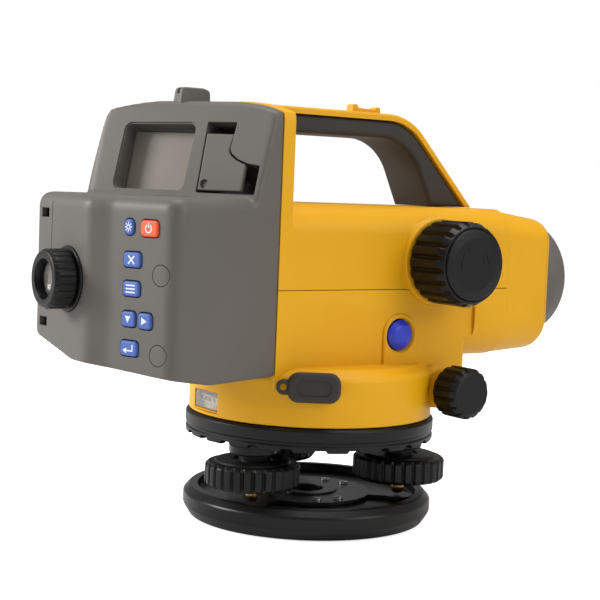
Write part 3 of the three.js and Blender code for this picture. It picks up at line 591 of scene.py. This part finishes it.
# ---------------------------------------------------------------- horizontal circle
def horizontal_circle():
    teeth = 24

    def castle(angle, r, h):
        if r < 54 or h > 40.7:
            return r, h
        phase = abs((angle * teeth / (2 * math.pi)) % 1 - 0.5) * 2
        lift = min(1.0, max(0.0, (phase - 0.62) / 0.1))
        return r, h + (40.8 - h) * lift

    ring = revolve(
        [
            (18.6, 44.2), (54.8, 44.2), (54.8, 39, 0.5), (58.2, 39, 0.7), (58.2, 41.6, 0.2),
            (57.6, 42.2, 0.2), (57.6, 43.2, 0.2), (58.35, 43.8, 0.3), (58.35, 48.6, 0.9),
            (57, 49.5, 0.5), (18.6, 49.5),
        ],
        24 * 24,
        None,
        castle,
    )
    finish(ring, "circle_ring_castellated", "circle", "black_plastic", stands_for=["circle_setting_ring"])
    # Numbers at every five degrees, standing on the circle's wall behind the window.
    for k in range(-4, 5):
        curve = bpy.data.curves.new("figure", "FONT")
        curve.body = str((k * 5) % 360)
        curve.size = 2.7
        curve.align_x = "CENTER"
        curve.align_y = "BOTTOM"
        curve.extrude = 0.04
        text = add_object("figure", curve)
        angle = math.radians(-90 + 5 * k)
        place = (
            Matrix.Rotation(angle, 4, "Z")
            @ Matrix.Translation((52.56, 0, 55.0))
            @ Matrix.Rotation(math.pi / 2, 4, "Z")
            @ Matrix.Rotation(math.pi / 2, 4, "X")
        )
        mesh = evaluated_mesh(text)
        bpy.data.objects.remove(text)
        mesh.transform(place)
        finish(add_object("figure", mesh), f"circle_figure_{k + 4}", "circle", "black_plastic")


# ---------------------------------------------------------------- yellow casing
def shroud(inset=0.0):
    section = corners_of(
        (-BODY_HALF, 75.5, 18), (BODY_HALF, 75.5, 18), (BODY_HALF, DECK_Z, 13), (-BODY_HALF, DECK_Z, 13)
    )
    return inset_corners(section, inset)


def along_y(corners, low, high, rim=(0, 0)):
    """Pushes a section along y. Its across direction points to -x."""
    return loft(corners, low, high, rim, ALONG_Y, steps=14)


def column(inset, low, high):
    plan = corners_of(
        (-BODY_HALF, JOINT_Y), (BODY_HALF, JOINT_Y),
        (BODY_HALF, COLUMN_FRONT, 11), (-BODY_HALF, COLUMN_FRONT, 11),
    )
    return loft(inset_corners(plan, inset), low, high, steps=12)


def lower_casing():
    turret = revolve(
        [(0, 50), (TURRET_R, 50, 0.6), (TURRET_R, 71.6, 4), (51, TURRET_TOP, 3), (0, TURRET_TOP)],
        192,
        steps=10,
    )
    bosses = []
    for side in (1, -1):
        place = sideways(FINE_Y, FINE_Z, side)
        bosses.append(revolve([(0, 28), (10.4, 28), (9.8, 38, 2), (8.4, 49.1, 0.8), (0, 49.1)], 96, place))
    arch = loft(
        corners_of(
            (BUTTON_Y - 9.6, 72), (BUTTON_Y + 9.6, 72), (BUTTON_Y + 9.6, 98, 9.4), (BUTTON_Y - 9.6, 98, 9.4)
        ),
        BODY_HALF - 2, BODY_HALF + 1.4, (0, 1.2), ALONG_X, steps=16,
    )
    body = join(
        turret,
        column(0, 66, SEAM_Z),
        common(along_y(shroud(), 40, NOSE_JOINT), block((-50, 40, 70), (50, 100, SEAM_Z))),
        loft(rectangle(-6, -11, 6, 11, 4.5), 32, 49.2, place=PORT),
        *bosses,
    )
    step_cut = loft(
        corners_of(
            (29, 58), (68.3, 58), (68.3, 100.5), (59.5, 101, 6), (51.5, 94, 4),
            (49.4, 77, 5), (44, 74, 5), (29, 71.4),
        ),
        BODY_HALF - 1.6, BODY_HALF + 6, place=ALONG_X, steps=6,
    )
    body = cut(body, step_cut)
    body = join(body, arch)
    teardrop = loft(
        corners_of((-4, 71.6, 1.5), (4.4, 72.2, 1.2), (5.2, 74.4, 1.0), (-0.6, 74.6, 1.4)),
        BODY_HALF - 1.6, BODY_HALF + 3, place=ALONG_X,
    )
    from_behind = Matrix(((1, 0, 0, 0), (0, 0, -1, 0), (0, 1, 0, 0), (0, 0, 0, 1)))
    frame_cut = loft(rectangle(-14.2, 51.5, 8.2, 61.4, 0.8), 55.2, 70, place=from_behind)
    button_bore = revolve(
        [(0, 20), (7.35, 20), (7.35, BODY_HALF - 0.2, 0.2), (8.6, BODY_HALF + 2, 0.1), (8.6, 60), (0, 60)],
        96,
        BUTTON_AXIS,
    )
    shaft = revolve(
        [(0, -80), (3, -80), (3, 80), (0, 80)], 48,
        FINE_AXIS,
    )
    cavity = join(
        column(WALL, 70, SEAM_Z + 5),
        block((-BODY_HALF + WALL, JOINT_Y - 5, PASSAGE_Z), (BODY_HALF - WALL, 0, SEAM_Z + 5)),
        common(along_y(shroud(WALL), 40, NOSE_JOINT + 5), block((-50, 40, 70), (50, 110, SEAM_Z + 5))),
    )
    cavity = cut(cavity, revolve([(0, 68.1), (13.5, 68.1), (13.5, 82), (0, 82)], 64))
    body = cut(
        body,
        cavity,
        revolve([(0, 45), (53.6, 45), (53.6, 64), (51, 68.1), (0, 68.1)], 128),
        revolve([(0, 40), (9.25, 40), (9.25, 90), (0, 90)], 64),
        shaft,
        teardrop,
        frame_cut,
        block((-13.3, -70, 52.2), (7.3, -48, 60.6)),
        block((-50, -30, 79), (-20, 36, 102)),
        loft(rectangle(-4, -9, 4, 9, 2.5), 40, 62, place=PORT),
        button_bore,
    )
    finish(body, "lower_casing_moulded", "alidade", "yellow_casing", stands_for=["lower_casing"])

    door = loft(rectangle(-33, 76, 39, 105, 4), -39.4, -37.3, (0.9, 0), ALONG_X)
    ribs = [
        loft(rectangle(y - 0.7, 80, y + 0.7, 100, 0.6), -41, -38.9, place=ALONG_X) for y in (-27, -24, -21)
    ]
    door = cut(door, *ribs)
    finish(door, "battery_door_moulded", "battery_cover", "yellow_casing", stands_for=["battery_door"])

    cap = join(
        loft(rectangle(-6.6, -11.6, 6.6, 11.6, 5), 57.6, 61.6, (0.8, 1.8), PORT, steps=10),
        loft(rectangle(-3.5, -8.5, 3.5, 8.5, 2), 53.6, 58.2, place=PORT),
    )
    strap = loft(rectangle(-3.4, -16.4, 3.4, -7, 3.2), 58.2, 60.4, (0.6, 0.8), PORT, steps=10)
    strap = cut(strap, loft(rectangle(-1.6, -14.6, 1.6, -11.9, 1.4), 50, 70, place=PORT))
    dimple = loft(rectangle(-3.6, -7.5, 3.6, 7.5, 3), 61.1, 70, place=PORT)
    finish(cut(join(cap, strap), dimple), "port_cap_soft", "port_cover", "rubber", stands_for=["port_cap"])

    button = revolve(
        [(0, 31), (7, 31), (7, BODY_HALF + 0.9, 1.0), (4.5, BODY_HALF + 2.6, 3), (0, BODY_HALF + 3.2)],
        96,
        BUTTON_AXIS,
        steps=8,
    )
    finish(
        button, "measure_button_domed", "measure_key", "blue_plastic", stands_for=["measure_button"], angle=50
    )


def under_roof(inset=0.0):
    """Everything below the arched roof."""
    radius = ROOF_R - inset
    place = Matrix.Translation((0, 0, ROOF_Z - ROOF_R)) @ Matrix.Rotation(-math.pi / 2, 4, "X")
    return revolve([(0, -140), (radius, -140), (radius, 0), (0, 0)], 360, place)


def upper_casing():
    deck = cut(along_y(shroud(), JOINT_Y, NOSE_JOINT), block((-60, -60, 60), (60, 110, SEAM_Z + GAP)))
    plan = rectangle(-BODY_HALF, -70, BODY_HALF, 0)
    collar = common(
        loft(plan, 112, ROOF_Z, (0, ROOF_EDGE), rim_steps=12),
        block((-60, JOINT_Y, 128), (60, COLLAR_FRONT, 200)),
        under_roof(),
    )
    boss = cut(
        revolve(
            [(0, BODY_HALF - 1), (21.2, BODY_HALF - 1), (20.2, 39.3, 0.8), (0, 39.3)],
            128,
            FOCUS_AXIS,
        ),
        block((BODY_HALF - 5, 0, 90), (BODY_HALF + GAP, 90, SEAM_Z + GAP)),
    )
    body = join(deck, collar, boss)
    inside = join(
        along_y(shroud(WALL), JOINT_Y - 5, NOSE_JOINT + 5),
        common(
            loft(rectangle(-BODY_HALF + WALL, -70, BODY_HALF - WALL, 10), 112, ROOF_Z - WALL, (0, 6.4)),
            block((-60, JOINT_Y - 5, 130), (60, COLLAR_FRONT - WALL, 200)),
            under_roof(WALL),
        ),
    )
    bore = revolve(
        [(0, 20), (3.6, 20), (3.6, 80), (0, 80)], 48,
        FOCUS_AXIS,
    )
    body = cut(body, inside, bore)
    finish(body, "upper_casing_moulded", "alidade", "yellow_casing", stands_for=["upper_casing"])


def narrowed(made):
    """Narrows a piece of the nose forward from its joint, most of all along the top."""
    for vertex in made.data.vertices:
        point = vertex.co
        along = max(0.0, (point.y - NOSE_JOINT) / (NOSE_FRONT - NOSE_JOINT))
        rise = point.z - TELESCOPE_Z
        point.x *= 1 - 0.07 * along
        point.z = TELESCOPE_Z + rise * (1 - (0.15 if rise > 0 else 0.06) * along)
    return made


def nose_cover():
    outer = narrowed(along_y(shroud(), NOSE_JOINT - 6, NOSE_FRONT, (0, 6)))
    groove = narrowed(cut(along_y(shroud(-1), 116.2, 116.6), along_y(shroud(0.35), 116, 117)))
    shell = cut(
        outer,
        block((-60, 80, 60), (60, NOSE_JOINT + GAP, 160)),
        narrowed(along_y(shroud(WALL), 80, NOSE_FRONT - WALL)),
        revolve([(0, 100), (27, 100), (27, 130), (0, 130)], 128, TELESCOPE),
        groove,
    )
    finish(shell, "nose_cover_moulded", "alidade", "yellow_casing", stands_for=["nose_cover"])
    bezel = revolve(
        [
            (23.6, 121.3, 0.2), (29.6, 121.3, 0.3), (29.6, 129, 6), (28.4, 135.6, 5), (26, 138.5, 1.4),
            (24.8, 138.5, 0.4), (23.9, 136.6, 0.4), (23.6, 133, 0.4),
        ],
        160,
        TELESCOPE,
        steps=8,
    )
    finish(
        bezel, "objective_bezel_turned", "alidade", "grey_plastic", stands_for=["objective_bezel"], angle=40
    )
    for name, radius, middle, thick, bulge, body in (
        ("objective_lens", 23, 113.5, 5, 3, "alidade"),
        ("focusing_lens", 10.9, 58, 3, 1.5, "focusing_group"),
        ("eyepiece_lens", 7.6, -133.5, 2, 1, "dioptre_group"),
    ):
        arc = [(k / 8, 1 - (k / 8) ** 2) for k in range(9)]
        back = [(radius * t, middle - thick / 2 - bulge * s) for t, s in arc]
        front = [(radius * t, middle + thick / 2 + bulge * s) for t, s in arc[::-1]]
        lens = revolve(back + front, 96, TELESCOPE)
        finish(lens, name + "_polished", body, "glass", stands_for=[name], angle=60)


HALF_HANDLE = 15
BAND_DEPTH = 3.4
HANDLE_INNER = ((56.5, DECK_Z + GAP), (42, 178.6, 26), (COLLAR_FRONT + GAP, 178.4))
HANDLE_OUTER = ((COLLAR_FRONT + GAP, 190), (41.7, 189.8, 30), (82.5, DECK_Z + GAP))
GRIP_OUTER = ((COLLAR_FRONT + GAP, 190 - BAND_DEPTH), (40.3, 189.8 - BAND_DEPTH, 27), (77.8, DECK_Z + GAP))


def carry_handle():
    whole = corners_of(*(HANDLE_OUTER + HANDLE_INNER)[::-1])
    lining = corners_of(*(GRIP_OUTER + HANDLE_INNER)[::-1])
    band = cut(
        loft(whole, -HALF_HANDLE, HALF_HANDLE, (1.2, 1.2), ALONG_X, steps=32),
        loft(lining, -25, 25, place=Matrix.Translation((0, GAP, GAP)) @ ALONG_X, steps=32),
        loft(lining, -26, 26, place=ALONG_X, steps=32),
    )
    finish(band, "handle_band_moulded", "alidade", "yellow_casing", stands_for=["handle_band"])
    grip = loft(lining, -HALF_HANDLE + 0.6, HALF_HANDLE - 0.6, (2.4, 2.4), ALONG_X, steps=32)
    finish(grip, "handle_grip_rubber", "alidade", "rubber", stands_for=["handle_grip"])
    bead = corners_of(
        (16, 190.1), (33, 190.1), (32.6, 193.3, 0.8), (30.5, 193.3, 0.8),
        (29.5, 192.1, 0.5), (20, 192.4, 0.5), (19, 194, 0.8), (16.6, 194, 0.8),
    )
    sight = loft(bead, -2.5, 2.5, (0.3, 0.3), ALONG_X)
    finish(sight, "front_sight_moulded", "alidade", "yellow_casing", stands_for=["front_sight"])


# ---------------------------------------------------------------- grey rear housing
KEYPAD_WIDTH = 38.5
KEYPAD_END = (
    VALLEY[0] + KEYPAD_WIDTH * math.cos(PANEL_TURN),
    VALLEY[1] + KEYPAD_WIDTH * math.sin(PANEL_TURN),
)
FLARE = (KEYPAD_END[0] - BODY_HALF) / (JOINT_Y - KEYPAD_END[1])


def right_side(y):
    return BODY_HALF + (JOINT_Y - y) * FLARE


KEYS = (
    ("light_key", 12.9, 135.4, 5.2, 6.5, "key_blue"),
    ("power_key", 23.9, 135.2, 9.2, 6.6, "key_orange"),
    ("escape_key", 15.0, 122.3, 9.4, 6.2, "key_blue"),
    ("menu_key", 14.9, 110.6, 9.2, 6.2, "key_blue"),
    ("down_key", 13.9, 98.3, 7.5, 6.3, "key_blue"),
    ("right_key", 22.8, 98.1, 7.3, 6.5, "key_blue"),
    ("enter_key", 14.6, 86.4, 9.4, 6.2, "key_blue"),
)
CAPS = (("screw_cap_upper", 30.2, 116.8), ("screw_cap_lower", 29.8, 84.8))
SCREEN = corners_of((-28.2, -10.7, 3), (6.9, -10.7, 3), (8.5, 19.5, 3), (-27, 19, 3))
RECESS = corners_of(
    (14.1, -11.5, 0.6), (42.6, -11.6, 0.8), (43.1, 1.4, 0.8), (36.6, 2.3, 2), (32, 4, 2), (28.8, 6.2, 2),
    (27.5, 8.3, 1), (28.7, 20.5, 0.8), (14.1, 20.4, 0.8),
)
FLAP = corners_of(
    (14.6, -10.3, 0.6), (35.8, -10.2, 0.8), (36.1, 1.7, 0.8), (31.5, 3.4, 2), (28.2, 5.6, 2),
    (26.9, 7.9, 1), (28.2, 15.1, 0.6), (14.6, 15.2, 0.6),
)


def key_shape(across, up, width, height, grow=0.0):
    half_width, half_height = width / 2 + grow, height / 2 + grow
    radius = min(half_width, half_height) * (0.9 if width < height else 0.55)
    return rectangle(across - half_width, up - half_height, across + half_width, up + half_height, radius)


def round_shape(across, up, radius, count=48):
    angles = [2 * math.pi * k / count for k in range(count)]
    return [(across + radius * math.cos(a), up + radius * math.sin(a), 0) for a in angles]


def underside(inset=0.0):
    """Everything above the housing's underside, which drops from left to right and rises at the back."""
    across = corners_of(
        (-70, HOUSING_BOTTOM), (-32, HOUSING_BOTTOM, 8), (6, 80, 20), (BODY_HALF, 86.5, 9),
        (BODY_HALF, 210), (-70, 210),
    )
    along = corners_of(
        (-140, 80.5), (-86, HOUSING_BOTTOM, 20), (JOINT_Y + 20, HOUSING_BOTTOM),
        (JOINT_Y + 20, 210), (-140, 210),
    )
    return common(
        loft(inset_corners(across, inset), -140, JOINT_Y + 20, place=ALONG_Y, steps=12),
        loft(inset_corners(along, inset), -60, 70, place=ALONG_X, steps=12),
    )


def rear_housing():
    front = JOINT_Y + 12
    lower = corners_of(
        (-BODY_HALF, front),
        (-BODY_HALF, LOWER_BACK, 9),
        (15.5, LOWER_BACK, 9),
        (24.5, VALLEY[1] + 2.5 * math.tan(PANEL_TURN) - 0.4, 10),
        (KEYPAD_END[0], KEYPAD_END[1], 6.5),
        (right_side(front), front),
    )
    roof = corners_of(
        (-BODY_HALF, front), (-BODY_HALF, -112), (right_side(-112), -112), (right_side(front), front)
    )
    face = corners_of((-44, -40), (60, -40), (60, 31.5), (-44, 31.5, 12))
    upper = common(
        loft(roof, 110, ROOF_Z, (0, ROOF_EDGE), rim_steps=10),
        loft(face, -80, 0, (0, 5.5), DISPLAY, steps=14, rim_steps=8),
        under_roof(),
    )
    blocks = loft(lower, HOUSING_BOTTOM - 5, LEDGE_Z, (0, 5.5), steps=12, rim_steps=8)
    body = join(common(blocks, underside()), upper)
    body = common(body, block((-60, -130, 60), (60, JOINT_Y, 200)))
    body = soften(body, 0.8, 22)
    # Recesses, holes and openings are cut after the softening, so that their edges stay crisp.
    body = common(body, block((-60, -130, 60), (60, JOINT_Y - GAP, 200)))
    for name, across, up in CAPS:
        disc = loft(round_shape(across, up, 4.2, 64), -3.9, 5, place=KEYPAD)
        whole = add_object("whole", body.data.copy())
        finish(common(disc, whole), name + "_moulded", "alidade", "grey_plastic", stands_for=[name], angle=60)
    tools = [loft(key_shape(a, u, w, h, 0.45), -12, 5, place=KEYPAD) for _, a, u, w, h, _ in KEYS]
    tools += [loft(round_shape(a, u, 4.5), -4.2, 5, place=KEYPAD) for _, a, u in CAPS]
    tools += [
        loft(SCREEN, -9, 0.01, (2.2, 0), DISPLAY),
        loft(inset_corners(SCREEN, -0.7), -0.6, 10, place=DISPLAY),
        loft(rectangle(-22, -7, 4, 16, 1), -13, 0, place=DISPLAY),
        loft(RECESS, -17, 10, place=DISPLAY),
        loft(rectangle(-5, -14.6, 13.7, -14.1), -3, 10, place=DISPLAY),
    ]
    tools.append(revolve([(0, 110), (13.9, 110), (13.9, 140), (0, 140)], 96, EYEPIECE))
    tools.append(block((-16.9, -130, 98), (-16.5, -126.5, 146)))
    tools += [block((-27, -130, z - 2), (-19.8, -120, z + 2)) for z in (139.0, 92.0)]
    tools.append(revolve([(0, 60), (57.4, 60), (57.4, 75.4), (0, 75.4)], 192))
    tub = join(
        loft(inset_corners(SCREEN, -2), -11, -1, place=DISPLAY),
        loft(rectangle(12.6, -13.2, 44.5, 22), -19, -1, place=DISPLAY),
    )
    hollow = join(
        common(
            loft(inset_corners(lower, WALL), HOUSING_BOTTOM - 5, LEDGE_Z - WALL, (0, 3), steps=4),
            underside(WALL + 0.6),
        ),
        common(
            loft(inset_corners(roof, WALL + 2.4), 110, ROOF_Z - WALL - 1.4, (0, 6.4)),
            loft(inset_corners(face, WALL + 2.4), -80, -WALL - 1.4, (0, 3), DISPLAY),
            under_roof(WALL),
        ),
        block((-BODY_HALF + 7, JOINT_Y - 9, PASSAGE_Z), (BODY_HALF - 7, JOINT_Y + 5, ROOF_Z - 20)),
    )
    socket = revolve([(0, 112), (15.5, 112), (15.5, 125.5), (0, 125.5)], 64, EYEPIECE)
    hollow = cut(hollow, tub, socket)
    body = cut(body, hollow, *tools)
    finish(body, "rear_housing_moulded", "alidade", "grey_plastic", stands_for=["rear_housing"], angle=40)
    flange = join(
        revolve([(11.2, 126.8), (13.8, 126.8, 0.3), (13.8, 128, 0.4), (11.2, 128)], 96, EYEPIECE),
        revolve([(11.2, 124.5), (13.8, 124.5), (13.8, 127), (11.2, 127)], 96, EYEPIECE),
    )
    finish(flange, "eyepiece_flange", "alidade", "black_plastic")


def legend(name, parts, across, up, key, height=1.22, slot="legend_white"):
    """A flat printed sign on a key, drawn as thin plates in the key's own plane."""
    made = []
    for corners in parts:
        moved = [(across + x, up + y, r) for x, y, r in corners]
        made.append(loft(moved, height - 0.15, height + 0.05, place=KEYPAD, steps=3))
    piece = join(made[0], *made[1:]) if len(made) > 1 else made[0]
    finish(piece, name, key, "key_blue", material=slot)


def stroke(x0, y0, x1, y1, width=0.7):
    along = Vector((x1 - x0, y1 - y0)).normalized() * width / 2
    side = Vector((-along.y, along.x))
    a, b = Vector((x0, y0)), Vector((x1, y1))
    return [(p.x, p.y, 0) for p in (a - along - side, b + along - side, b + along + side, a - along + side)]


def arc_stroke(radius, start, end, width=0.6, count=20):
    angles = [math.radians(start + (end - start) * k / count) for k in range(count + 1)]
    outside, inside = radius + width / 2, radius - width / 2
    outer = [(outside * math.cos(a), outside * math.sin(a), 0) for a in angles]
    inner = [(inside * math.cos(a), inside * math.sin(a), 0) for a in angles[::-1]]
    return outer + inner


def keypad():
    for name, across, up, width, height, slot in KEYS:
        cap = loft(key_shape(across, up, width, height), -3.2, 1.2, (0.2, 0.9), KEYPAD, steps=8, rim_steps=6)
        finish(cap, name + "_moulded", name + "_body", slot, stands_for=[name], angle=60)
    rays = []
    for k in range(8):
        x, y = math.cos(k * math.pi / 4), math.sin(k * math.pi / 4)
        rays.append(stroke(1.25 * x, 1.25 * y, 1.8 * x, 1.8 * y, 0.4))
    signs = {
        "light_key": [arc_stroke(0.8, 0, 358, 0.4)] + rays,
        "power_key": [arc_stroke(1.6, 120, 420, 0.55), stroke(0, 0.6, 0, 2.0, 0.55)],
        "escape_key": [stroke(-1.4, -1.4, 1.4, 1.4), stroke(-1.4, 1.4, 1.4, -1.4)],
        "menu_key": [stroke(-2.2, y, 2.2, y, 0.6) for y in (-1.4, 0, 1.4)],
        "down_key": [corners_of((-1.5, 1.3), (0, -1.5), (1.5, 1.3))],
        "right_key": [corners_of((-1.3, -1.6), (1.6, 0), (-1.3, 1.6))],
        "enter_key": [
            stroke(2.3, 1.4, 2.3, -0.8, 0.6),
            stroke(2.3, -0.8, -1.2, -0.8, 0.6),
            corners_of((-2.9, -0.8), (-1.0, -2.0), (-1.0, 0.4)),
        ],
    }
    for name, across, up, *_ in KEYS:
        legend(name.replace("_key", "_sign"), signs[name], across, up, name + "_body")
    # The printed bracket below the two upper keys.
    bracket = (
        stroke(-5.6, 1.2, -5.6, -0.6, 0.35), stroke(-5.6, -0.6, -2.6, -0.6, 0.35),
        stroke(2.6, -0.6, 5.6, -0.6, 0.35), stroke(5.6, -0.6, 5.6, 1.2, 0.35),
    )
    for k, part in enumerate(bracket):
        legend(f"bracket_line_{k}", [part], 18.6, 129, "alidade", height=0.0, slot="legend_red")


def display_and_viewer():
    flap = loft(FLAP, -2, -0.1, (0, 0.5), DISPLAY, steps=6)
    notch = loft(round_shape(17.5, -7.5, 2, 40), -1.1, 2, place=DISPLAY)
    flap = cut(flap, notch)
    finish(flap, "viewer_flap_moulded", "bubble_viewer", "grey_plastic", stands_for=["viewer_flap"])
    pane = loft(rectangle(-26.5, -9.4, 5.5, 17.8, 1), -8.7, -7.5, (0, 0.3), DISPLAY)
    finish(pane, "display_glass", "alidade", "glass", material="screen", stands_for=["display_window"])
    sight = loft(
        corners_of((-73, 187), (-57, 187), (-57.5, 195, 2), (-61, 196, 2), (-71.5, 196, 2)),
        -12, -5, (0.7, 0.7), ALONG_X,
    )
    sight = cut(sight, block((-9.5, -80, 193.2), (-7.5, -69, 200)))
    finish(sight, "rear_sight_moulded", "alidade", "grey_plastic", stands_for=["rear_sight"])


# ---------------------------------------------------------------- knobs
def side_knobs():
    focus_flutes, fine_flutes, ring_flutes = 20, 16, 24
    knob = revolve(
        [
            (3.1, 39.6, 0.2), (18.1, 39.6, 0.6), (19.4, 41, 0.8), (19.4, 59, 1.2), (18.3, 61, 1.2),
            (17.5, 62.6, 0.5), (16.6, 62.6, 0.2), (16.6, 60.9, 0.1), (3.1, 60.9, 0.1),
        ],
        focus_flutes * 20,
        FOCUS_AXIS,
        grooves(focus_flutes, 1.5, 0.22, 17.8, 39.4, 61.6, 1.4),
    )
    finish(knob, "focus_knob_fluted", "focus_drive", "black_plastic", stands_for=["focus_knob"], angle=40)
    disc = [(0, 61.3), (16.3, 61.3, 0.1), (16.3, 63.3, 0.9), (12, 64, 6), (0, 64)]
    cap = revolve(disc, 128, FOCUS_AXIS, steps=6)
    marks = [
        [(x + 6.5, y + s, 0) for x, y, _ in arc_stroke(1.3, 0, 358, 0.45)] for s in (-1.25, 1.25)
    ]
    # An arrow along an arc, with its head at the arc's start.
    arrow_radius, arrow_start = 8.6, 100
    marks.append(arc_stroke(arrow_radius, arrow_start, 165, 0.5))
    tip_x = arrow_radius * math.cos(math.radians(arrow_start))
    tip_y = arrow_radius * math.sin(math.radians(arrow_start))
    marks.append([(tip_x + x, tip_y + y, 0) for x, y in ((1.4, 0.2), (-0.4, 1.1), (-0.4, -0.9))])
    place = FOCUS_AXIS @ Matrix.Rotation(math.radians(115), 4, "Z")
    engraved = [loft(mark, 63.8, 65, place=place) for mark in marks]
    cap = cut(cap, *engraved)
    finish(cap, "focus_knob_disc", "focus_drive", "black_plastic", stands_for=["focus_knob_cap"], angle=40)
    for side, turn in (("right", 1), ("left", -1)):
        place = sideways(FINE_Y, FINE_Z, turn)
        knob = revolve(
            [
                (0, 61.2), (2.7, 61.2), (2.7, 49.5, 0.1), (10.8, 49.5, 0.5), (11.8, 50.6, 0.6),
                (11.8, 61.6, 0.9), (10.4, 63.2, 0.8), (9.2, 64, 0.5), (8.4, 63.7, 0.3), (0, 63.7),
            ],
            fine_flutes * 20,
            place,
            grooves(fine_flutes, 1.1, 0.24, 10.2, 49.4, 63.4, 1.0),
        )
        stand_in = [f"fine_motion_knob_{side}"]
        finish(
            knob, f"fine_knob_{side}_fluted", "fine_drive", "black_plastic", stands_for=stand_in, angle=40
        )
    ring = revolve(
        [
            (9.2, 128.3, 0.1), (12.0, 128.3, 0.4), (12.6, 129.3, 0.5), (12.6, 136.6, 0.9), (11.6, 138.4, 0.8),
            (8.6, 138.4, 0.4), (7.9, 136, 0.3), (7.9, 131.5, 0.1), (9.2, 130.1, 0.1),
        ],
        ring_flutes * 16,
        EYEPIECE,
        grooves(ring_flutes, 0.6, 0.2, 11.7, 128.3, 137.7, 0.8),
    )
    finish(
        ring, "eyepiece_ring_fluted", "dioptre_group", "black_plastic", stands_for=["eyepiece_ring"], angle=40
    )


levelling_base()
horizontal_circle()
lower_casing()
upper_casing()
nose_cover()
carry_handle()
rear_housing()
keypad()
display_and_viewer()
side_knobs()

# CAD nodes that stay get their own finish.
slots = {part["node"]: part["material_slot"] for part in frame["record"]["subparts"]}
for name, node in nodes.items():
    node.data.materials.clear()
    chosen = "black_metal" if name == "spring_plate" else slots[name]
    node.data.materials.append(MATERIALS[chosen])


# ---------------------------------------------------------------- floor, light and camera
def seen_by_camera(tree, elsewhere, value, socket):
    """Gives a socket one value for what the camera sees directly, and another for every other ray."""
    ray = tree.nodes.new("ShaderNodeLightPath")
    pick = tree.nodes.new("ShaderNodeMapRange")
    pick.inputs["To Min"].default_value = elsewhere
    pick.inputs["To Max"].default_value = value
    tree.links.new(ray.outputs["Is Camera Ray"], pick.inputs["Value"])
    tree.links.new(pick.outputs["Result"], socket)


bm = bmesh.new()
bmesh.ops.create_grid(bm, x_segments=2, y_segments=2, size=40)
floor_mesh = bpy.data.meshes.new("floor")
bm.to_mesh(floor_mesh)
bm.free()
floor = add_object("floor", floor_mesh)
floor.location = (0, 0, -0.0005)
# The floor looks a little brighter than it lights, so that it stays pale out to the horizon.
paper = make_material("floor_paper", (0.8, 0.8, 0.8), 0.9, grain=2, bump=0.02, mottle=0.004, bevel=0)
paper_shader = paper.node_tree.nodes["Principled BSDF"]
paper_shader.inputs["Emission Color"].default_value = (1, 1, 1, 1)
seen_by_camera(paper.node_tree, 0, 0.72, paper_shader.inputs["Emission Strength"])
floor_mesh.materials.append(paper)

world = bpy.data.worlds.new("studio")
bpy.context.scene.world = world
world.use_nodes = True
backdrop = world.node_tree.nodes["Background"]
backdrop.inputs["Color"].default_value = (1, 1, 1, 1)
# The backdrop is white to the camera, and lights the object more softly than it looks.
seen_by_camera(world.node_tree, 0.36, 1, backdrop.inputs["Strength"])


def area_light(name, place, target, size, power):
    lamp = bpy.data.lights.new(name, "AREA")
    lamp.shape = "RECTANGLE"
    lamp.size, lamp.size_y = size
    lamp.energy = power
    made = add_object(name, lamp)
    made.location = place
    made.rotation_mode = "QUATERNION"
    made.rotation_quaternion = (Vector(target) - Vector(place)).to_track_quat("-Z", "Y")


area_light("key", (-0.8, -1.3, 0.7), (0, -0.03, 0.12), (0.5, 0.5), 26)
area_light("fill", (1.2, 0.5, 0.8), (0, 0, 0.1), (0.9, 0.9), 9)
area_light("top", (0, 0.1, 1.4), (0, 0, 0.1), (0.9, 0.9), 14)

# The camera's azimuth, elevation and roll are in degrees, its place in metres, its lens in millimetres.
AZIMUTH, ELEVATION, ROLL = 54.961, 4.537, 2.259
CAMERA_PLACE = (0.5401, -0.3867, 0.1538)
LENS, SENSOR = 84.94, 36

camera_data = bpy.data.cameras.new("camera")
camera_data.lens = LENS
camera_data.sensor_width = SENSOR
camera = add_object("camera", camera_data)
azimuth, elevation, roll = math.radians(AZIMUTH), math.radians(ELEVATION), math.radians(ROLL)
level = math.cos(elevation)
back = Vector((math.sin(azimuth) * level, -math.cos(azimuth) * level, math.sin(elevation)))
right = (-back).cross(Vector((0, 0, 1))).normalized()
up = right.cross(-back)
across = right * math.cos(roll) + up * math.sin(roll)
upward = up * math.cos(roll) - right * math.sin(roll)
camera.matrix_world = Matrix(
    (
        (across.x, upward.x, back.x, CAMERA_PLACE[0]),
        (across.y, upward.y, back.y, CAMERA_PLACE[1]),
        (across.z, upward.z, back.z, CAMERA_PLACE[2]),
        (0, 0, 0, 1),
    )
)
bpy.context.scene.camera = camera
bpy.context.scene.view_settings.view_transform = "Standard"
